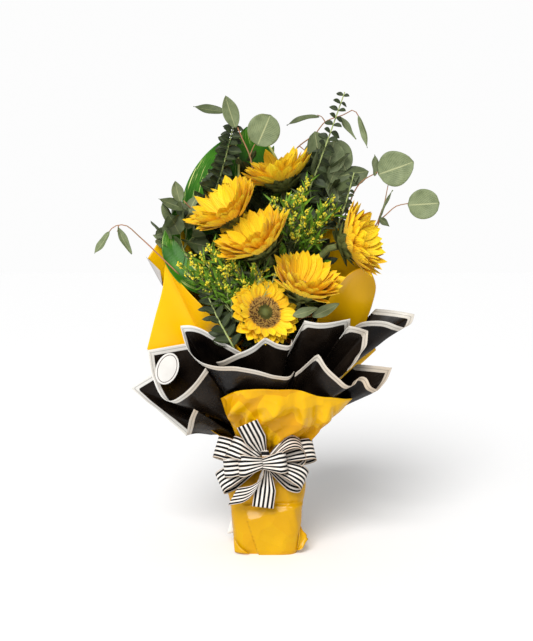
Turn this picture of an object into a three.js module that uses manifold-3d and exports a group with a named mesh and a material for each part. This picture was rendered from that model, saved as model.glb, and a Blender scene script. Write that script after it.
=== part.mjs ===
// A wrapped bouquet of six sunflowers with eucalyptus, goldenrod and broad leaves,
// standing on its wrapped foot.
// Millimetres, +Z up, front towards -Y. The origin is the middle of the foot's flat underside.
import * as THREE from "three";
import { mergeVertices } from "three/addons/utils/BufferGeometryUtils.js";
import Module from "manifold-3d";

const wasm = await Module();
wasm.setup();

// ---- driving dimensions ----
const NECK = { x: 38, y: 34, z: 164 }; // half-axes and height of the tied neck
const FOOT_NARROWING = [
  // height, half-width, half-depth of the wrapped foot
  [0, 51, 45],
  [8, 55, 48],
  [70, 61, 52],
  [112, 66, 54],
  [134, 59, 49],
  [150, 45, 39],
  [NECK.z, NECK.x - 1, NECK.y - 1],
];
const FOOT_SQUARENESS = 5; // exponent of the foot's rounded-square section
const PAPER_THICK = 1.2;
const RIBBON_THICK = 0.8;
const RIBBON_WIDTH = 33;
const KNOT = { x: -4, y: -68, z: 160, radius: 9 };
const PETAL_LENGTH = 58;
const RECEPTACLE_RADIUS = 22;
const RECEPTACLE_DEPTH = 20; // from the petals' foot back to the stem
const PETAL_CUP_THICK = 6;
const LEAF_THICK = 1.4;
const CLEARANCE = 0.7; // left between neighbouring pieces
const SLIVER = 0.03; // facets thinner than this are tidied away after a cut
const PAPER_STEP = 42; // length of one facet along a sheet's rim
const PAPER_ROWS = 3; // facets from a sheet's foot to its rim

// ---- materials ----
const finish = (color, roughness) =>
  new THREE.MeshStandardMaterial({ color, roughness, metalness: 0 });
const YELLOW_PAPER = finish(0xf0b400, 0.4);
const BLACK_PAPER = finish(0x14110e, 0.35);
const RIBBON = finish(0xd9d3c7, 0.8);
const PETAL = finish(0xf8b500, 0.6);
const STEM = finish(0x7a7f45, 0.7);
const EUCALYPTUS = finish(0x6d8263, 0.6);
const GOLDENROD = finish(0x7f9a2c, 0.8);
const BROAD_LEAF = finish(0x2a6a12, 0.4);
const DARK_LEAF = finish(0x26331c, 0.7);
const LABEL = finish(0xf2f0ea, 0.5);

// ---- making closed solids ----
const vector = ([x, y, z]) => new THREE.Vector3(x, y, z);
const mix = THREE.MathUtils.lerp;
const radians = THREE.MathUtils.degToRad;

function solidOf(geometry) {
  const bare = geometry.index ? geometry.toNonIndexed() : geometry.clone();
  bare.deleteAttribute("normal");
  bare.deleteAttribute("uv");
  const merged = mergeVertices(bare, 1e-3);
  return new wasm.Manifold(
    new wasm.Mesh({
      numProp: 3,
      vertProperties: merged.attributes.position.array,
      triVerts: new Uint32Array(merged.index.array),
    }),
  );
}

// Moves every vertex of a three.js primitive to the place that a function gives it.
function bent(geometry, place) {
  const at = geometry.attributes.position;
  const p = new THREE.Vector3();
  for (let i = 0; i < at.count; i++) {
    const moved = place(p.fromBufferAttribute(at, i));
    at.setXYZ(i, moved.x, moved.y, moved.z);
  }
  return geometry;
}

// Splits the facets of a box's back along the same diagonals as its front's, so that the two stay parallel.
function matchDiagonals(box) {
  const { start, count } = box.groups[5];
  const corners = box.index.array;
  for (let i = start; i < start + count; i += 6) {
    const [a, b, d, , c] = corners.slice(i, i + 6);
    corners.set([a, b, c, a, c, d], i);
  }
}

// A thin solid that follows surface(u, v), as a box of one layer of facets bent onto it.
function sheetSolid(surface, columns, rows, thickness) {
  const box = new THREE.BoxGeometry(1, 1, 1, columns, rows, 1);
  matchDiagonals(box);
  const nudge = 1e-3;
  return solidOf(
    bent(box, (p) => {
      const u = p.x + 0.5;
      const v = p.y + 0.5;
      const along = surface(Math.min(1, u + nudge), v).sub(surface(Math.max(0, u - nudge), v));
      const up = surface(u, Math.min(1, v + nudge)).sub(surface(u, Math.max(0, v - nudge)));
      const normal = along.cross(up).normalize();
      return surface(u, v).addScaledVector(normal, p.z * thickness);
    }),
  );
}

// A round tapering limb along a smooth curve through the points.
function limb(points, startRadius, endRadius, sides = 5) {
  const curve = new THREE.CatmullRomCurve3(points.map(vector));
  const steps = Math.max(2, points.length);
  const frames = curve.computeFrenetFrames(steps, false);
  const rod = new THREE.CylinderGeometry(1, 1, 1, sides, steps);
  return solidOf(
    bent(rod, (p) => {
      const t = p.y + 0.5;
      const k = Math.round(t * steps);
      const radius = mix(startRadius, endRadius, t);
      return curve
        .getPointAt(t)
        .addScaledVector(frames.normals[k], p.x * radius)
        .addScaledVector(frames.binormals[k], -p.z * radius);
    }),
  );
}

// A flat round or oval leaf: its middle, length, width, the way it points and the way its face looks.
function ovalLeaf({ at, length, width, points, faces = [0, -1, 0.2] }) {
  const along = vector(points).normalize();
  const normal = vector(faces);
  normal.addScaledVector(along, -normal.dot(along)).normalize();
  const across = new THREE.Vector3().crossVectors(normal, along);
  const basis = new THREE.Matrix4().makeBasis(across, normal, along);
  const disc = new THREE.CylinderGeometry(0.5, 0.5, LEAF_THICK, 9);
  disc.scale(width, 1, length);
  disc.applyMatrix4(basis).translate(...at);
  return solidOf(disc);
}

// A long leaf blade along a smooth midrib, widest at a share of its length.
function longBlade({ midrib, width, faces, widest = 0.55 }) {
  const curve = new THREE.CatmullRomCurve3(midrib.map(vector));
  const side = (t) => curve.getTangentAt(t).cross(vector(faces)).normalize();
  const halfWidth = (t) => {
    const share = t < widest ? t / widest : (1 - t) / (1 - widest);
    return Math.max(1.5, (width / 2) * Math.sin((share * Math.PI) / 2) ** 0.75);
  };
  return sheetSolid(
    (u, v) => curve.getPointAt(v).addScaledVector(side(v), (u - 0.5) * 2 * halfWidth(v)),
    2,
    7,
    LEAF_THICK,
  );
}

// An uneven closed mass: a ball stretched to its radii and pushed in and out by a few waves.
function unevenMass({ at, radii, seed }) {
  const ball = new THREE.IcosahedronGeometry(1, 2);
  return solidOf(
    bent(ball, (p) => {
      const wave =
        Math.sin(4.1 * p.x + seed) * Math.cos(3.7 * p.y - seed) + Math.sin(5.3 * p.z + 2 * seed);
      const swell = 0.94 + 0.06 * wave;
      return new THREE.Vector3(
        at[0] + p.x * radii[0] * swell,
        at[1] + p.y * radii[1] * swell,
        at[2] + p.z * radii[2] * swell,
      );
    }),
  );
}

// ---- fitting the pieces together ----
const root = new THREE.Group();
const placed = [];

// The solid pushed out along its normals, so that what is cut by it keeps its distance.
function swollen(solid) {
  const mesh = solid.getMesh();
  const n = mesh.numProp;
  const geometry = new THREE.BufferGeometry();
  const positions = new Float32Array(mesh.numVert * 3);
  for (let i = 0; i < mesh.numVert; i++)
    positions.set(mesh.vertProperties.subarray(i * n, i * n + 3), i * 3);
  geometry.setAttribute("position", new THREE.BufferAttribute(positions, 3));
  geometry.setIndex(new THREE.BufferAttribute(mesh.triVerts, 1));
  geometry.computeVertexNormals();
  const normals = geometry.attributes.normal.array;
  const grown = positions.map((value, i) => value + normals[i] * CLEARANCE);
  return new wasm.Manifold(
    new wasm.Mesh({ numProp: 3, vertProperties: grown, triVerts: mesh.triVerts }),
  );
}

const boxesMeet = (a, b) => [0, 1, 2].every((k) => a.min[k] < b.max[k] && b.min[k] < a.max[k]);

function largestBody(solid) {
  return solid.decompose().reduce((a, b) => (b.volume() > a.volume() ? b : a));
}

// Adds a piece to its group, cut back from every piece that is already there.
function add(group, name, whole, material) {
  let solid = whole;
  for (const other of placed.filter(({ box }) => boxesMeet(whole.boundingBox(), box))) {
    solid = solid.subtract(other.grown);
    if (solid.intersect(other.whole).volume() > 0) solid = solid.subtract(other.whole);
  }
  solid = largestBody(solid).simplify(SLIVER);
  const grown = swollen(whole);
  placed.push({ whole, grown, box: grown.boundingBox() });
  const { numProp, numVert, vertProperties, triVerts } = solid.getMesh();
  const box = solid.boundingBox();
  const middle = new THREE.Vector3(...box.min).add(new THREE.Vector3(...box.max)).divideScalar(2).round();
  const positions = new Float32Array(numVert * 3);
  for (let i = 0; i < numVert; i++)
    positions.set(vertProperties.subarray(i * numProp, i * numProp + 3), i * 3);
  const geometry = new THREE.BufferGeometry();
  geometry.setAttribute("position", new THREE.BufferAttribute(positions, 3));
  geometry.setIndex(new THREE.BufferAttribute(triVerts, 1));
  geometry.translate(-middle.x, -middle.y, -middle.z);
  const mesh = new THREE.Mesh(geometry, material);
  mesh.name = name;
  mesh.position.copy(middle);
  group.add(mesh);
}

function newGroup() {
  const group = new THREE.Group();
  root.add(group);
  return group;
}

// ---- the wrapped foot, from its flat underside to the tied neck ----
function footSize(z) {
  const k = FOOT_NARROWING.findIndex(([height]) => height >= z);
  if (k <= 0) return FOOT_NARROWING[0].slice(1);
  const [lowZ, lowX, lowY] = FOOT_NARROWING[k - 1];
  const [highZ, highX, highY] = FOOT_NARROWING[k];
  const t = (z - lowZ) / (highZ - lowZ);
  return [mix(lowX, highX, t), mix(lowY, highY, t)];
}

function wrappedFoot() {
  const block = new THREE.BoxGeometry(2, 2, 1, 3, 3, FOOT_NARROWING.length - 1);
  return solidOf(
    bent(block, (p) => {
      const level = Math.round((p.z + 0.5) * (FOOT_NARROWING.length - 1));
      const z = FOOT_NARROWING[level][0];
      const [halfWidth, halfDepth] = footSize(z);
      const n = FOOT_SQUARENESS;
      const ring = Math.max(Math.abs(p.x), Math.abs(p.y));
      const reach = (Math.abs(p.x) ** n + Math.abs(p.y) ** n) ** (1 / n) || 1;
      return new THREE.Vector3((halfWidth * p.x * ring) / reach, (halfDepth * p.y * ring) / reach, z);
    }),
  );
}

// ---- paper sheets ----
// A sheet runs from a foot on the neck, as [angle round the neck, ring size] at each corner, to a rim. The
// angle is 0 at the front and grows towards +X. The rim is a list of strokes that meet at the corners.
function neckPoint(angle, ring, z) {
  const a = radians(angle);
  return new THREE.Vector3(NECK.x * ring * Math.sin(a), -NECK.y * ring * Math.cos(a), z);
}

function rimSamples(strokes, feet) {
  const samples = [];
  strokes.forEach((stroke, k) => {
    const curve = new THREE.CatmullRomCurve3(stroke.map(vector), false, "centripetal");
    const steps = Math.max(1, Math.round(curve.getLength() / PAPER_STEP));
    for (let i = k ? 1 : 0; i <= steps; i++) {
      const t = i / steps;
      samples.push({
        rim: curve.getPointAt(t),
        angle: mix(feet[k][0], feet[k + 1][0], t),
        ring: mix(feet[k][1], feet[k + 1][1], t),
      });
    }
  });
  return samples;
}

function paperSheet({ footZ, feet, rim, sag = 0 }) {
  const samples = rimSamples(rim, feet);
  const columns = samples.length - 1;
  const columnCurve = (s) => {
    const start = neckPoint(s.angle, s.ring, footZ);
    const middle = start.clone().lerp(s.rim, 0.5);
    middle.z -= sag;
    return new THREE.QuadraticBezierCurve3(start, middle, s.rim);
  };
  const curves = samples.map(columnCurve);
  const surface = (u, v) => {
    const at = u * columns;
    const k = Math.min(columns - 1, Math.floor(at));
    return curves[k].getPoint(v).lerp(curves[k + 1].getPoint(v), at - k);
  };
  return sheetSolid(surface, columns, PAPER_ROWS, PAPER_THICK);
}

const COLLARS = {
  collar_front: {
    footZ: NECK.z, feet: [[-66, 1.06], [74, 1.06]], sag: 12,
    rim: [[[-72, -86, 265], [-54, -108, 277], [-29, -128, 286], [13, -138, 286], [50, -134, 284],
      [88, -122, 273], [133, -104, 268]]],
  },
  collar_back: {
    footZ: NECK.z, feet: [[78, 1.1], [292, 1.1]], sag: 8,
    rim: [[[134, -88, 262], [128, 0, 258], [70, 72, 262], [0, 90, 266], [-62, 68, 250], [-104, 10, 234],
      [-98, -58, 216]]],
  },
};

const BLACK_SHEETS = {
  black_front_left: {
    footZ: 186, feet: [[-15, 1.2], [-60, 1.25], [22, 1.4]], sag: -16,
    rim: [
      [[-39, -112, 341], [-69, -102, 357], [-96, -88, 370], [-120, -76, 378], [-135, -74, 378]],
      [[-135, -74, 378], [-125, -95, 350], [-102, -122, 330], [-78, -138, 323], [-40, -150, 322],
        [-13, -154, 318], [13, -155, 312], [34, -152, 310], [41, -144, 316]],
    ],
  },
  black_right_low: {
    footZ: 186, feet: [[26, 1.35], [32, 1.4], [62, 1.4], [76, 1.3], [66, 1.2]], sag: -14,
    rim: [
      [[45, -145, 312], [60, -144, 324], [78, -141, 339]],
      [[78, -141, 339], [90, -146, 322], [108, -148, 306], [123, -146, 294], [133, -138, 295],
        [142, -130, 305], [152, -128, 303], [159, -130, 290], [171, -120, 282]],
      [[171, -120, 282], [186, -98, 296], [198, -78, 312]],
      [[198, -78, 312], [173, -62, 313], [145, -50, 314]],
    ],
  },
  black_left_label: {
    footZ: 198, feet: [[-84, 1.05], [-88, 1.1], [-50, 1.12]], sag: -8,
    rim: [
      [[-124, -30, 346], [-160, -38, 341], [-192, -45, 336]],
      [[-192, -45, 336], [-183, -60, 296], [-163, -82, 263], [-149, -96, 261], [-117, -118, 286],
        [-93, -124, 318]],
    ],
  },
  black_left_low: {
    footZ: 186, feet: [[-112, 1.25], [-104, 1.3], [-86, 1.35], [-66, 1.4]], sag: -6,
    rim: [
      [[-157, 0, 311], [-190, -10, 292], [-224, -20, 272]],
      [[-224, -20, 272], [-175, -45, 237], [-129, -62, 200]],
      [[-129, -62, 200], [-120, -95, 230], [-112, -106, 250]],
    ],
  },
  black_right_high: {
    footZ: 198, feet: [[66, 1.1], [78, 1.1], [90, 1.08], [100, 1.06]], sag: -30,
    rim: [
      [[140, -72, 379], [151, -68, 384], [171, -62, 386], [191, -60, 383], [208, -55, 376], [221, -45, 372]],
      [[221, -45, 372], [234, -28, 380], [241, -12, 393]],
      [[241, -12, 393], [212, 2, 396], [182, 14, 398]],
    ],
  },
  black_front_centre: {
    footZ: 194, feet: [[-40, 1.06], [-8, 1.1], [10, 1.1]], sag: -18,
    rim: [
      [[-77, -118, 326], [-68, -124, 329], [-40, -131, 342], [-20, -134, 353], [-2, -135, 365]],
      [[-2, -135, 365], [16, -137, 356], [37, -137, 355], [39, -130, 362]],
    ],
  },
  black_right_inner: {
    footZ: 198, feet: [[36, 1.08], [44, 1.1], [60, 1.1], [52, 1.14]], sag: -14,
    rim: [
      [[118, -104, 368], [128, -100, 380]],
      [[128, -100, 380], [142, -96, 377], [159, -86, 371]],
      [[159, -86, 371], [155, -92, 350], [142, -104, 328], [131, -110, 316]],
    ],
  },
  black_front_right: {
    footZ: 200, feet: [[8, 0.96], [14, 0.97], [38, 1.0], [50, 0.98]], sag: -16,
    rim: [
      [[32, -112, 340], [58, -108, 390]],
      [[58, -108, 390], [82, -110, 386], [107, -106, 387], [130, -96, 391]],
      [[130, -96, 391], [131, -82, 372], [130, -76, 350]],
    ],
  },
  black_back: {
    footZ: 188, feet: [[-120, 1.2], [-242, 1.2]], sag: 0,
    rim: [[[-190, 26, 292], [-158, 70, 331], [-91, 105, 350], [1, 118, 360], [94, 108, 357],
      [165, 75, 366], [208, 38, 361]]],
  },
};

const YELLOW_SHEETS = {
  yellow_left: {
    footZ: 206, feet: [[-84, 0.86], [-76, 0.86], [-18, 0.86]], sag: 8,
    rim: [
      [[-194, -30, 336], [-181, -28, 387], [-168, -25, 437], [-164, -25, 474]],
      [[-164, -25, 474], [-129, -60, 437], [-83, -88, 392], [-39, -104, 344]],
    ],
  },
  yellow_right: {
    footZ: 206, feet: [[24, 0.86], [84, 0.86], [94, 0.86]], sag: 8,
    rim: [
      [[80, -94, 396], [107, -82, 435], [132, -60, 461], [161, -35, 468], [178, -15, 439],
        [173, -5, 406], [164, 0, 378]],
      [[164, 0, 378], [182, 5, 330]],
    ],
  },
  yellow_back: {
    footZ: 206, feet: [[-90, 0.86], [-96, 0.86], [-102, 0.86], [-254, 0.86], [-260, 0.86]], sag: 10,
    rim: [
      [[-168, -16, 438], [-194, -8, 483]],
      [[-194, -8, 483], [-171, 10, 521]],
      [[-171, 10, 521], [-130, 58, 543], [-63, 84, 560], [1, 92, 566], [75, 85, 560], [122, 65, 550],
        [166, 35, 532]],
      [[166, 35, 532], [180, 10, 470]],
    ],
  },
};

// ---- ribbon bow ----
// A loop leaves the knot at an angle in the front plane, bulges to the front and comes back behind.
function ribbonLoop({ angle, length, bulge, y }) {
  const out = new THREE.Vector3(Math.cos(radians(angle)), 0, Math.sin(radians(angle)));
  const across = new THREE.Vector3(-out.z, 0, out.x);
  const start = new THREE.Vector3(KNOT.x, y, KNOT.z).addScaledVector(out, KNOT.radius + 2);
  return sheetSolid(
    (u, v) => {
      const turn = mix(0.04, 0.96, v);
      const pinch = mix(0.5, 1, Math.min(1, Math.sin(Math.PI * turn) * 1.6));
      return start
        .clone()
        .addScaledVector(out, length * Math.sin(Math.PI * turn))
        .add(new THREE.Vector3(0, -bulge * Math.sin(2 * Math.PI * turn), 0))
        .addScaledVector(across, (u - 0.5) * RIBBON_WIDTH * pinch);
    },
    1,
    7,
    RIBBON_THICK,
  );
}

function ribbonTail({ points, across }) {
  const curve = new THREE.CatmullRomCurve3(points.map(vector));
  const side = vector(across).normalize();
  const widthAt = (v) => RIBBON_WIDTH * mix(0.5, 1, Math.min(1, v * 2.2));
  return sheetSolid(
    (u, v) => curve.getPointAt(v).addScaledVector(side, (u - 0.5) * widthAt(v)),
    1,
    5,
    RIBBON_THICK,
  );
}

const LOOPS = {
  loop_right_front: { angle: 4, length: 36, bulge: 12, y: KNOT.y - 14 },
  loop_left_front: { angle: 184, length: 58, bulge: 12, y: KNOT.y - 10 },
  loop_right_upper: { angle: 36, length: 52, bulge: 14, y: KNOT.y - 2 },
  loop_left_upper: { angle: 153, length: 70, bulge: 12, y: KNOT.y },
  loop_right_lower: { angle: -31, length: 62, bulge: 12, y: KNOT.y + 2 },
  loop_left_lower: { angle: 211, length: 72, bulge: 9, y: KNOT.y + 4 },
  loop_right_rear: { angle: 20, length: 76, bulge: 9, y: KNOT.y + 8 },
};
const TAILS = {
  tail_upper: { points: [[-6, -70, 172], [-17, -94, 200], [-30, -116, 230]], across: [0.89, 0, 0.45] },
  tail_lower: { points: [[-7, -78, 148], [-10, -86, 128], [-28, -82, 112], [-54, -74, 104]],
    across: [0.75, 0, 0.66] },
  tail_foot: { points: [[0, -72, 146], [-2, -76, 118], [-6, -72, 86]], across: [1, 0, -0.12] },
};

// ---- sunflowers ----
// The head is a cup of petals on a green back; reach is how far the petals open, from 0 shut to 90 flat.
function sunflowerHead({ at, axis, open, petals = PETAL_LENGTH }) {
  const out = Math.sin(radians(open)) * petals;
  const rise = Math.cos(radians(open)) * petals;
  const profile = [
    [0, -RECEPTACLE_DEPTH], [8, 1 - RECEPTACLE_DEPTH], [RECEPTACLE_RADIUS, -9], [RECEPTACLE_RADIUS + 5, 0],
    [RECEPTACLE_RADIUS + out, rise], [RECEPTACLE_RADIUS + out - PETAL_CUP_THICK, rise + 2],
    [RECEPTACLE_RADIUS, 10], [0, 12],
  ].map(([r, z]) => new THREE.Vector2(r, z));
  const head = new THREE.LatheGeometry(profile, 12);
  const turn = new THREE.Quaternion().setFromUnitVectors(new THREE.Vector3(0, 1, 0),
    vector(axis).normalize());
  head.applyQuaternion(turn).translate(...at);
  return solidOf(head);
}

const SUNFLOWERS = {
  top: { at: [24, 0, 606], axis: [-0.27, -0.14, 0.95], open: 50 },
  left: { at: [-56, -45, 548], axis: [-0.5, -0.36, 0.79], open: 50 },
  middle: { at: [-8, -85, 502], axis: [-0.46, -0.4, 0.79], open: 50 },
  lower_right: { at: [55, -92, 434], axis: [0.3, -0.42, 0.86], open: 48 },
  right: { at: [129, -52, 507], axis: [0.9, -0.35, 0.28], open: 48 },
  front: { at: [-5, -100, 398], axis: [0.36, -0.87, 0.34], open: 66, petals: 34 },
};
const STEM_ROOT_Z = 400; // the height that the flower stems rise from, inside the greenery

function flowerStem({ at, axis }) {
  const back = vector(at).addScaledVector(vector(axis).normalize(), 3 - RECEPTACLE_DEPTH);
  const start = new THREE.Vector3(back.x * 0.35, back.y * 0.2, Math.min(STEM_ROOT_Z, back.z - 40));
  const bend = back.clone().addScaledVector(vector(axis).normalize(), -22);
  return limb([start.toArray(), bend.toArray(), back.toArray()], 6.5, 5.5);
}

// ---- eucalyptus, spikes and long leaves ----
const SPRIGS = {
  eucalyptus_top_left: {
    stems: [
      { points: [[-20, 0, 615], [-27, -10, 648], [-38, -10, 673], [-47, -12, 694]], radius: 1.8 },
      { points: [[-27, -10, 648], [-20, -13, 664], [-12, -15, 676]], radius: 1.4 },
    ],
    leaves: [
      { at: [-59, -14, 717], length: 54, width: 26, points: [-0.4, 0, 0.9] },
      { at: [-92, -15, 719], length: 56, width: 16, points: [-1, 0, 0.05] },
      { at: [-4, -16, 688], length: 53, width: 50, points: [0.4, 0, 0.9] },
    ],
  },
  eucalyptus_left: {
    stems: [{ points: [[-96, -6, 530], [-112, -12, 552], [-134, -17, 576]], radius: 1.8 }],
    leaves: [
      { at: [-144, -18, 590], length: 36, width: 20, points: [-0.25, 0, 0.97] },
      { at: [-151, -22, 568], length: 50, width: 22, points: [-0.95, 0, 0.25] },
    ],
  },
  eucalyptus_far_left: {
    stems: [{ points: [[-140, -44, 458], [-170, -42, 487], [-202, -40, 517], [-225, -42, 536],
      [-243, -42, 534], [-252, -43, 524]], radius: 1.6 }],
    leaves: [
      { at: [-261, -44, 506], length: 46, width: 12, points: [-0.45, 0, -0.9] },
      { at: [-229, -44, 510], length: 54, width: 12, points: [0.4, 0, -0.92] },
    ],
  },
  eucalyptus_top_right: {
    stems: [{ points: [[10, 22, 620], [32, 20, 647], [52, 18, 666], [80, 16, 686], [96, 14, 705],
      [126, 10, 716], [142, 6, 723], [150, 4, 712]], radius: 1.6 }],
    leaves: [
      { at: [68, 12, 712], length: 62, width: 11, points: [-1, 0, 0.05] },
      { at: [160, 3, 690], length: 56, width: 11, points: [0.42, 0, -0.9] },
      { at: [132, 8, 692], length: 50, width: 10, points: [0.35, 0, -0.93] },
    ],
  },
  eucalyptus_right: {
    stems: [{ points: [[112, -8, 530], [128, -10, 553], [142, -12, 590], [154, -14, 607],
      [180, -18, 622]], radius: 1.8 }],
    leaves: [
      { at: [208, -20, 627], length: 62, width: 52, points: [0.9, 0, 0.3] },
      { at: [171, -19, 632], length: 32, width: 14, points: [-0.2, 0, 1] },
    ],
  },
  eucalyptus_far_right: {
    stems: [
      { points: [[150, -20, 500], [168, -38, 521], [178, -40, 540], [192, -42, 554], [206, -42, 566],
        [228, -44, 571]], radius: 1.6 },
      { points: [[178, -40, 540], [181, -41, 552], [184, -41, 562]], radius: 1.4 },
    ],
    leaves: [
      { at: [250, -46, 569], length: 50, width: 48, points: [1, 0, 0] },
      { at: [184, -41, 572], length: 50, width: 9, points: [0.18, 0, 0.98] },
    ],
  },
};

function sprig({ stems, leaves }) {
  const parts = [
    ...stems.map(({ points, radius }) => limb(points, radius, radius * 0.7, 4)),
    ...leaves.map(ovalLeaf),
  ];
  return parts.reduce((whole, part) => whole.add(part));
}

const SPIKES = {
  spike_right: { points: [[54, -20, 553], [90, -20, 650], [125, -20, 750]], base: 15, tip: 4 },
  spike_right_small: { points: [[112, -30, 529], [128, -30, 575], [140, -30, 622]], base: 12, tip: 4 },
  spike_left: { points: [[-89, -2, 577], [-68, -4, 636], [-48, -5, 694]], base: 20, tip: 12 },
};

const BLADES = {
  broad_leaf_tall: { midrib: [[-12, 46, 520], [-18, 44, 620], [-32, 40, 700]],
    width: 100, faces: [0, -1, 0.15], widest: 0.6 },
  broad_leaf_left: { midrib: [[-70, 34, 470], [-88, 30, 580], [-58, 26, 680]],
    width: 98, faces: [-0.15, -1, 0.1], widest: 0.55 },
  broad_leaf_low: { midrib: [[-70, -46, 427], [-124, -44, 452], [-152, -28, 500], [-144, -12, 566]],
    width: 38, faces: [0.3, -1, 0.3], widest: 0.5 },
};

const MASSES = {
  goldenrod_right: { at: [64, -40, 556], radii: [42, 30, 46], seed: 1.2, look: GOLDENROD },
  goldenrod_left: { at: [-98, -72, 478], radii: [50, 26, 38], seed: 2.1, look: GOLDENROD },
  goldenrod_front: { at: [-24, -92, 452], radii: [38, 24, 30], seed: 0.4, look: GOLDENROD },
  eucalyptus_mass_left: { at: [-134, -14, 522], radii: [40, 32, 44], seed: 3.3, look: EUCALYPTUS },
  eucalyptus_mass_right: { at: [88, 10, 606], radii: [40, 24, 50], seed: 5.1, look: EUCALYPTUS },
  dark_leaf_left: { at: [-76, -80, 400], radii: [28, 19, 48], seed: 4.2, look: DARK_LEAF },
  greenery_back: { at: [-10, 48, 575], radii: [108, 34, 66], seed: 7.7, look: DARK_LEAF },
  greenery_core: { at: [0, -4, 440], radii: [104, 60, 118], seed: 8.3, look: DARK_LEAF },
};

const labelOval = () =>
  ovalLeaf({ at: [-160, -62, 306], length: 52, width: 36, points: [0.35, 0.3, 0.9],
    faces: [0.35, -0.9, 0.2] });

// ---- assembly: the pieces that keep their whole shape come first ----
const wrap = newGroup();
const bow = newGroup();
const flowers = newGroup();
const greens = newGroup();

add(wrap, "foot", wrappedFoot(), YELLOW_PAPER);
add(
  bow,
  "bow_knot",
  solidOf(new THREE.SphereGeometry(KNOT.radius, 7, 5).translate(KNOT.x, KNOT.y, KNOT.z)),
  RIBBON,
);
for (const [name, loop] of Object.entries(LOOPS)) add(bow, name, ribbonLoop(loop), RIBBON);
for (const [name, tail] of Object.entries(TAILS)) add(bow, name, ribbonTail(tail), RIBBON);
for (const [name, sheet] of Object.entries(COLLARS)) add(wrap, name, paperSheet(sheet), YELLOW_PAPER);
for (const [name, sheet] of Object.entries(BLACK_SHEETS)) add(wrap, name, paperSheet(sheet), BLACK_PAPER);
for (const [name, sheet] of Object.entries(YELLOW_SHEETS)) add(wrap, name, paperSheet(sheet), YELLOW_PAPER);
add(wrap, "label", labelOval(), LABEL);
for (const [name, flower] of Object.entries(SUNFLOWERS)) {
  add(flowers, "sunflower_" + name, sunflowerHead(flower), PETAL);
  add(flowers, "stem_" + name, flowerStem(flower), STEM);
}
for (const [name, shape] of Object.entries(SPRIGS)) add(greens, name, sprig(shape), EUCALYPTUS);
for (const [name, { points, base, tip }] of Object.entries(SPIKES))
  add(greens, name, limb(points, base, tip, 7), EUCALYPTUS);
for (const [name, blade] of Object.entries(BLADES)) add(greens, name, longBlade(blade), BROAD_LEAF);
add(
  greens,
  "stem_bundle",
  limb([[0, 0, NECK.z + 1], [0, -2, 240], [0, -6, 330]], 26, 30, 10),
  STEM,
);
for (const [name, mass] of Object.entries(MASSES)) add(greens, name, unevenMass(mass), mass.look);

export default root;
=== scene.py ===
"""A wrapped bouquet of six sunflowers with eucalyptus, goldenrod and broad leaves, on its wrapped foot.

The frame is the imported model's: metres, +Z up, front towards -Y, the origin under the middle of the foot.
Sizes below are in millimetres and are turned into metres where a piece is made.
"""
import math
import random

import bmesh
import bpy
from mathutils import Matrix, Vector, noise


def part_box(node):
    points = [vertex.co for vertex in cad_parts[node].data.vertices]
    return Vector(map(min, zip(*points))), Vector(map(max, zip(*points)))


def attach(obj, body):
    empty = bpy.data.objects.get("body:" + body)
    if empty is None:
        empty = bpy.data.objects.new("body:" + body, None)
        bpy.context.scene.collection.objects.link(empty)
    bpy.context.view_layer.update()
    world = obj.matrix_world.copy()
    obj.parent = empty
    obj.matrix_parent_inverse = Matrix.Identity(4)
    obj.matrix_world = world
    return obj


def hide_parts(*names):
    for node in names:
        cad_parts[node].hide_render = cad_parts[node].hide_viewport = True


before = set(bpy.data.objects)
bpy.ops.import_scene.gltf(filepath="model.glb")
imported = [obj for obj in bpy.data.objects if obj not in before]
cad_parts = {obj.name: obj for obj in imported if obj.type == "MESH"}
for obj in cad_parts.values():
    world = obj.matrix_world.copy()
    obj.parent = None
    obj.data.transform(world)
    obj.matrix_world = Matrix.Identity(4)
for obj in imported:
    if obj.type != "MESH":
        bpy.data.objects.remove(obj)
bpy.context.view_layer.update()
SCENE = bpy.context.scene
MM = 0.001
GOLDEN_ANGLE = math.pi * (3 - math.sqrt(5))
NOISE_SEED = 11  # the same crumples on every run
UP = Vector((0, 0, 1))
FRONT = Vector((0, -1, 0))

# ---- driving dimensions, in millimetres ----
NECK = (38, 34)  # half-axes of the tied neck
NECK_Z = 164
FOOT_NARROWING = [  # height, half-width, half-depth
    (0, 51, 45),
    (8, 54, 48),
    (70, 59, 52),
    (112, 65, 54),
    (134, 59, 49),
    (150, 45, 39),
    (NECK_Z, 37, 33),
    (176, 33, 30),
]
FOOT_SQUARENESS = 5
SHEET_FACET = 3.6  # spacing of the facets of the wrapping sheets
SHEET_THICK = 0.5
BORDER_WIDTH = 10  # the pale border along a black sheet's rim
BORDER_REACH = 12  # columns of facets to either side that a border is measured over
FAR_FROM_RIM = 1000
FLAP_TOP = 84  # the flap folded over the foot's front
FLAP_STEP = 6.0
FLAP_LEAN = 0.42  # how fast its upper part leans back
RIBBON_WIDTH = 35
RIBBON_THICK = 0.6
TAIL_STEPS = 30
KNOT = Vector((-4, -68, 160))
KNOT_RADIUS = 9
LABEL_SIZE = (36, 52)
LABEL_THICK = 0.4
LABEL_MARGIN = 2.8  # outside the thin ring
LABEL_RING = 1.1
STEM_ROOT_Z = 400
GATHERED_STEMS = 16
PETAL_LENGTH = 58
PETAL_WIDTH = 23
DISC_RADIUS = 27
FLORETS = 760
LEAF_THICK = 0.5
BROAD_LEAF_THICK = 0.6
BROAD_LEAF_STEPS = 40
BACK_SHEET_Z = 310  # the inside of the yellow sheet behind, as an oval that grows with height
BACK_SHEET_HALF = (75, 48)
BACK_SHEET_FLARE = (0.392, 0.174)
BACK_SHEET_RIM = (572, 0.00125)  # its height in the middle and how fast it drops to the sides
WITHOUT_NODE = ("loop_left_middle", "loop_left_rear", "low_leaves")  # these stand for none of the solids

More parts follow.
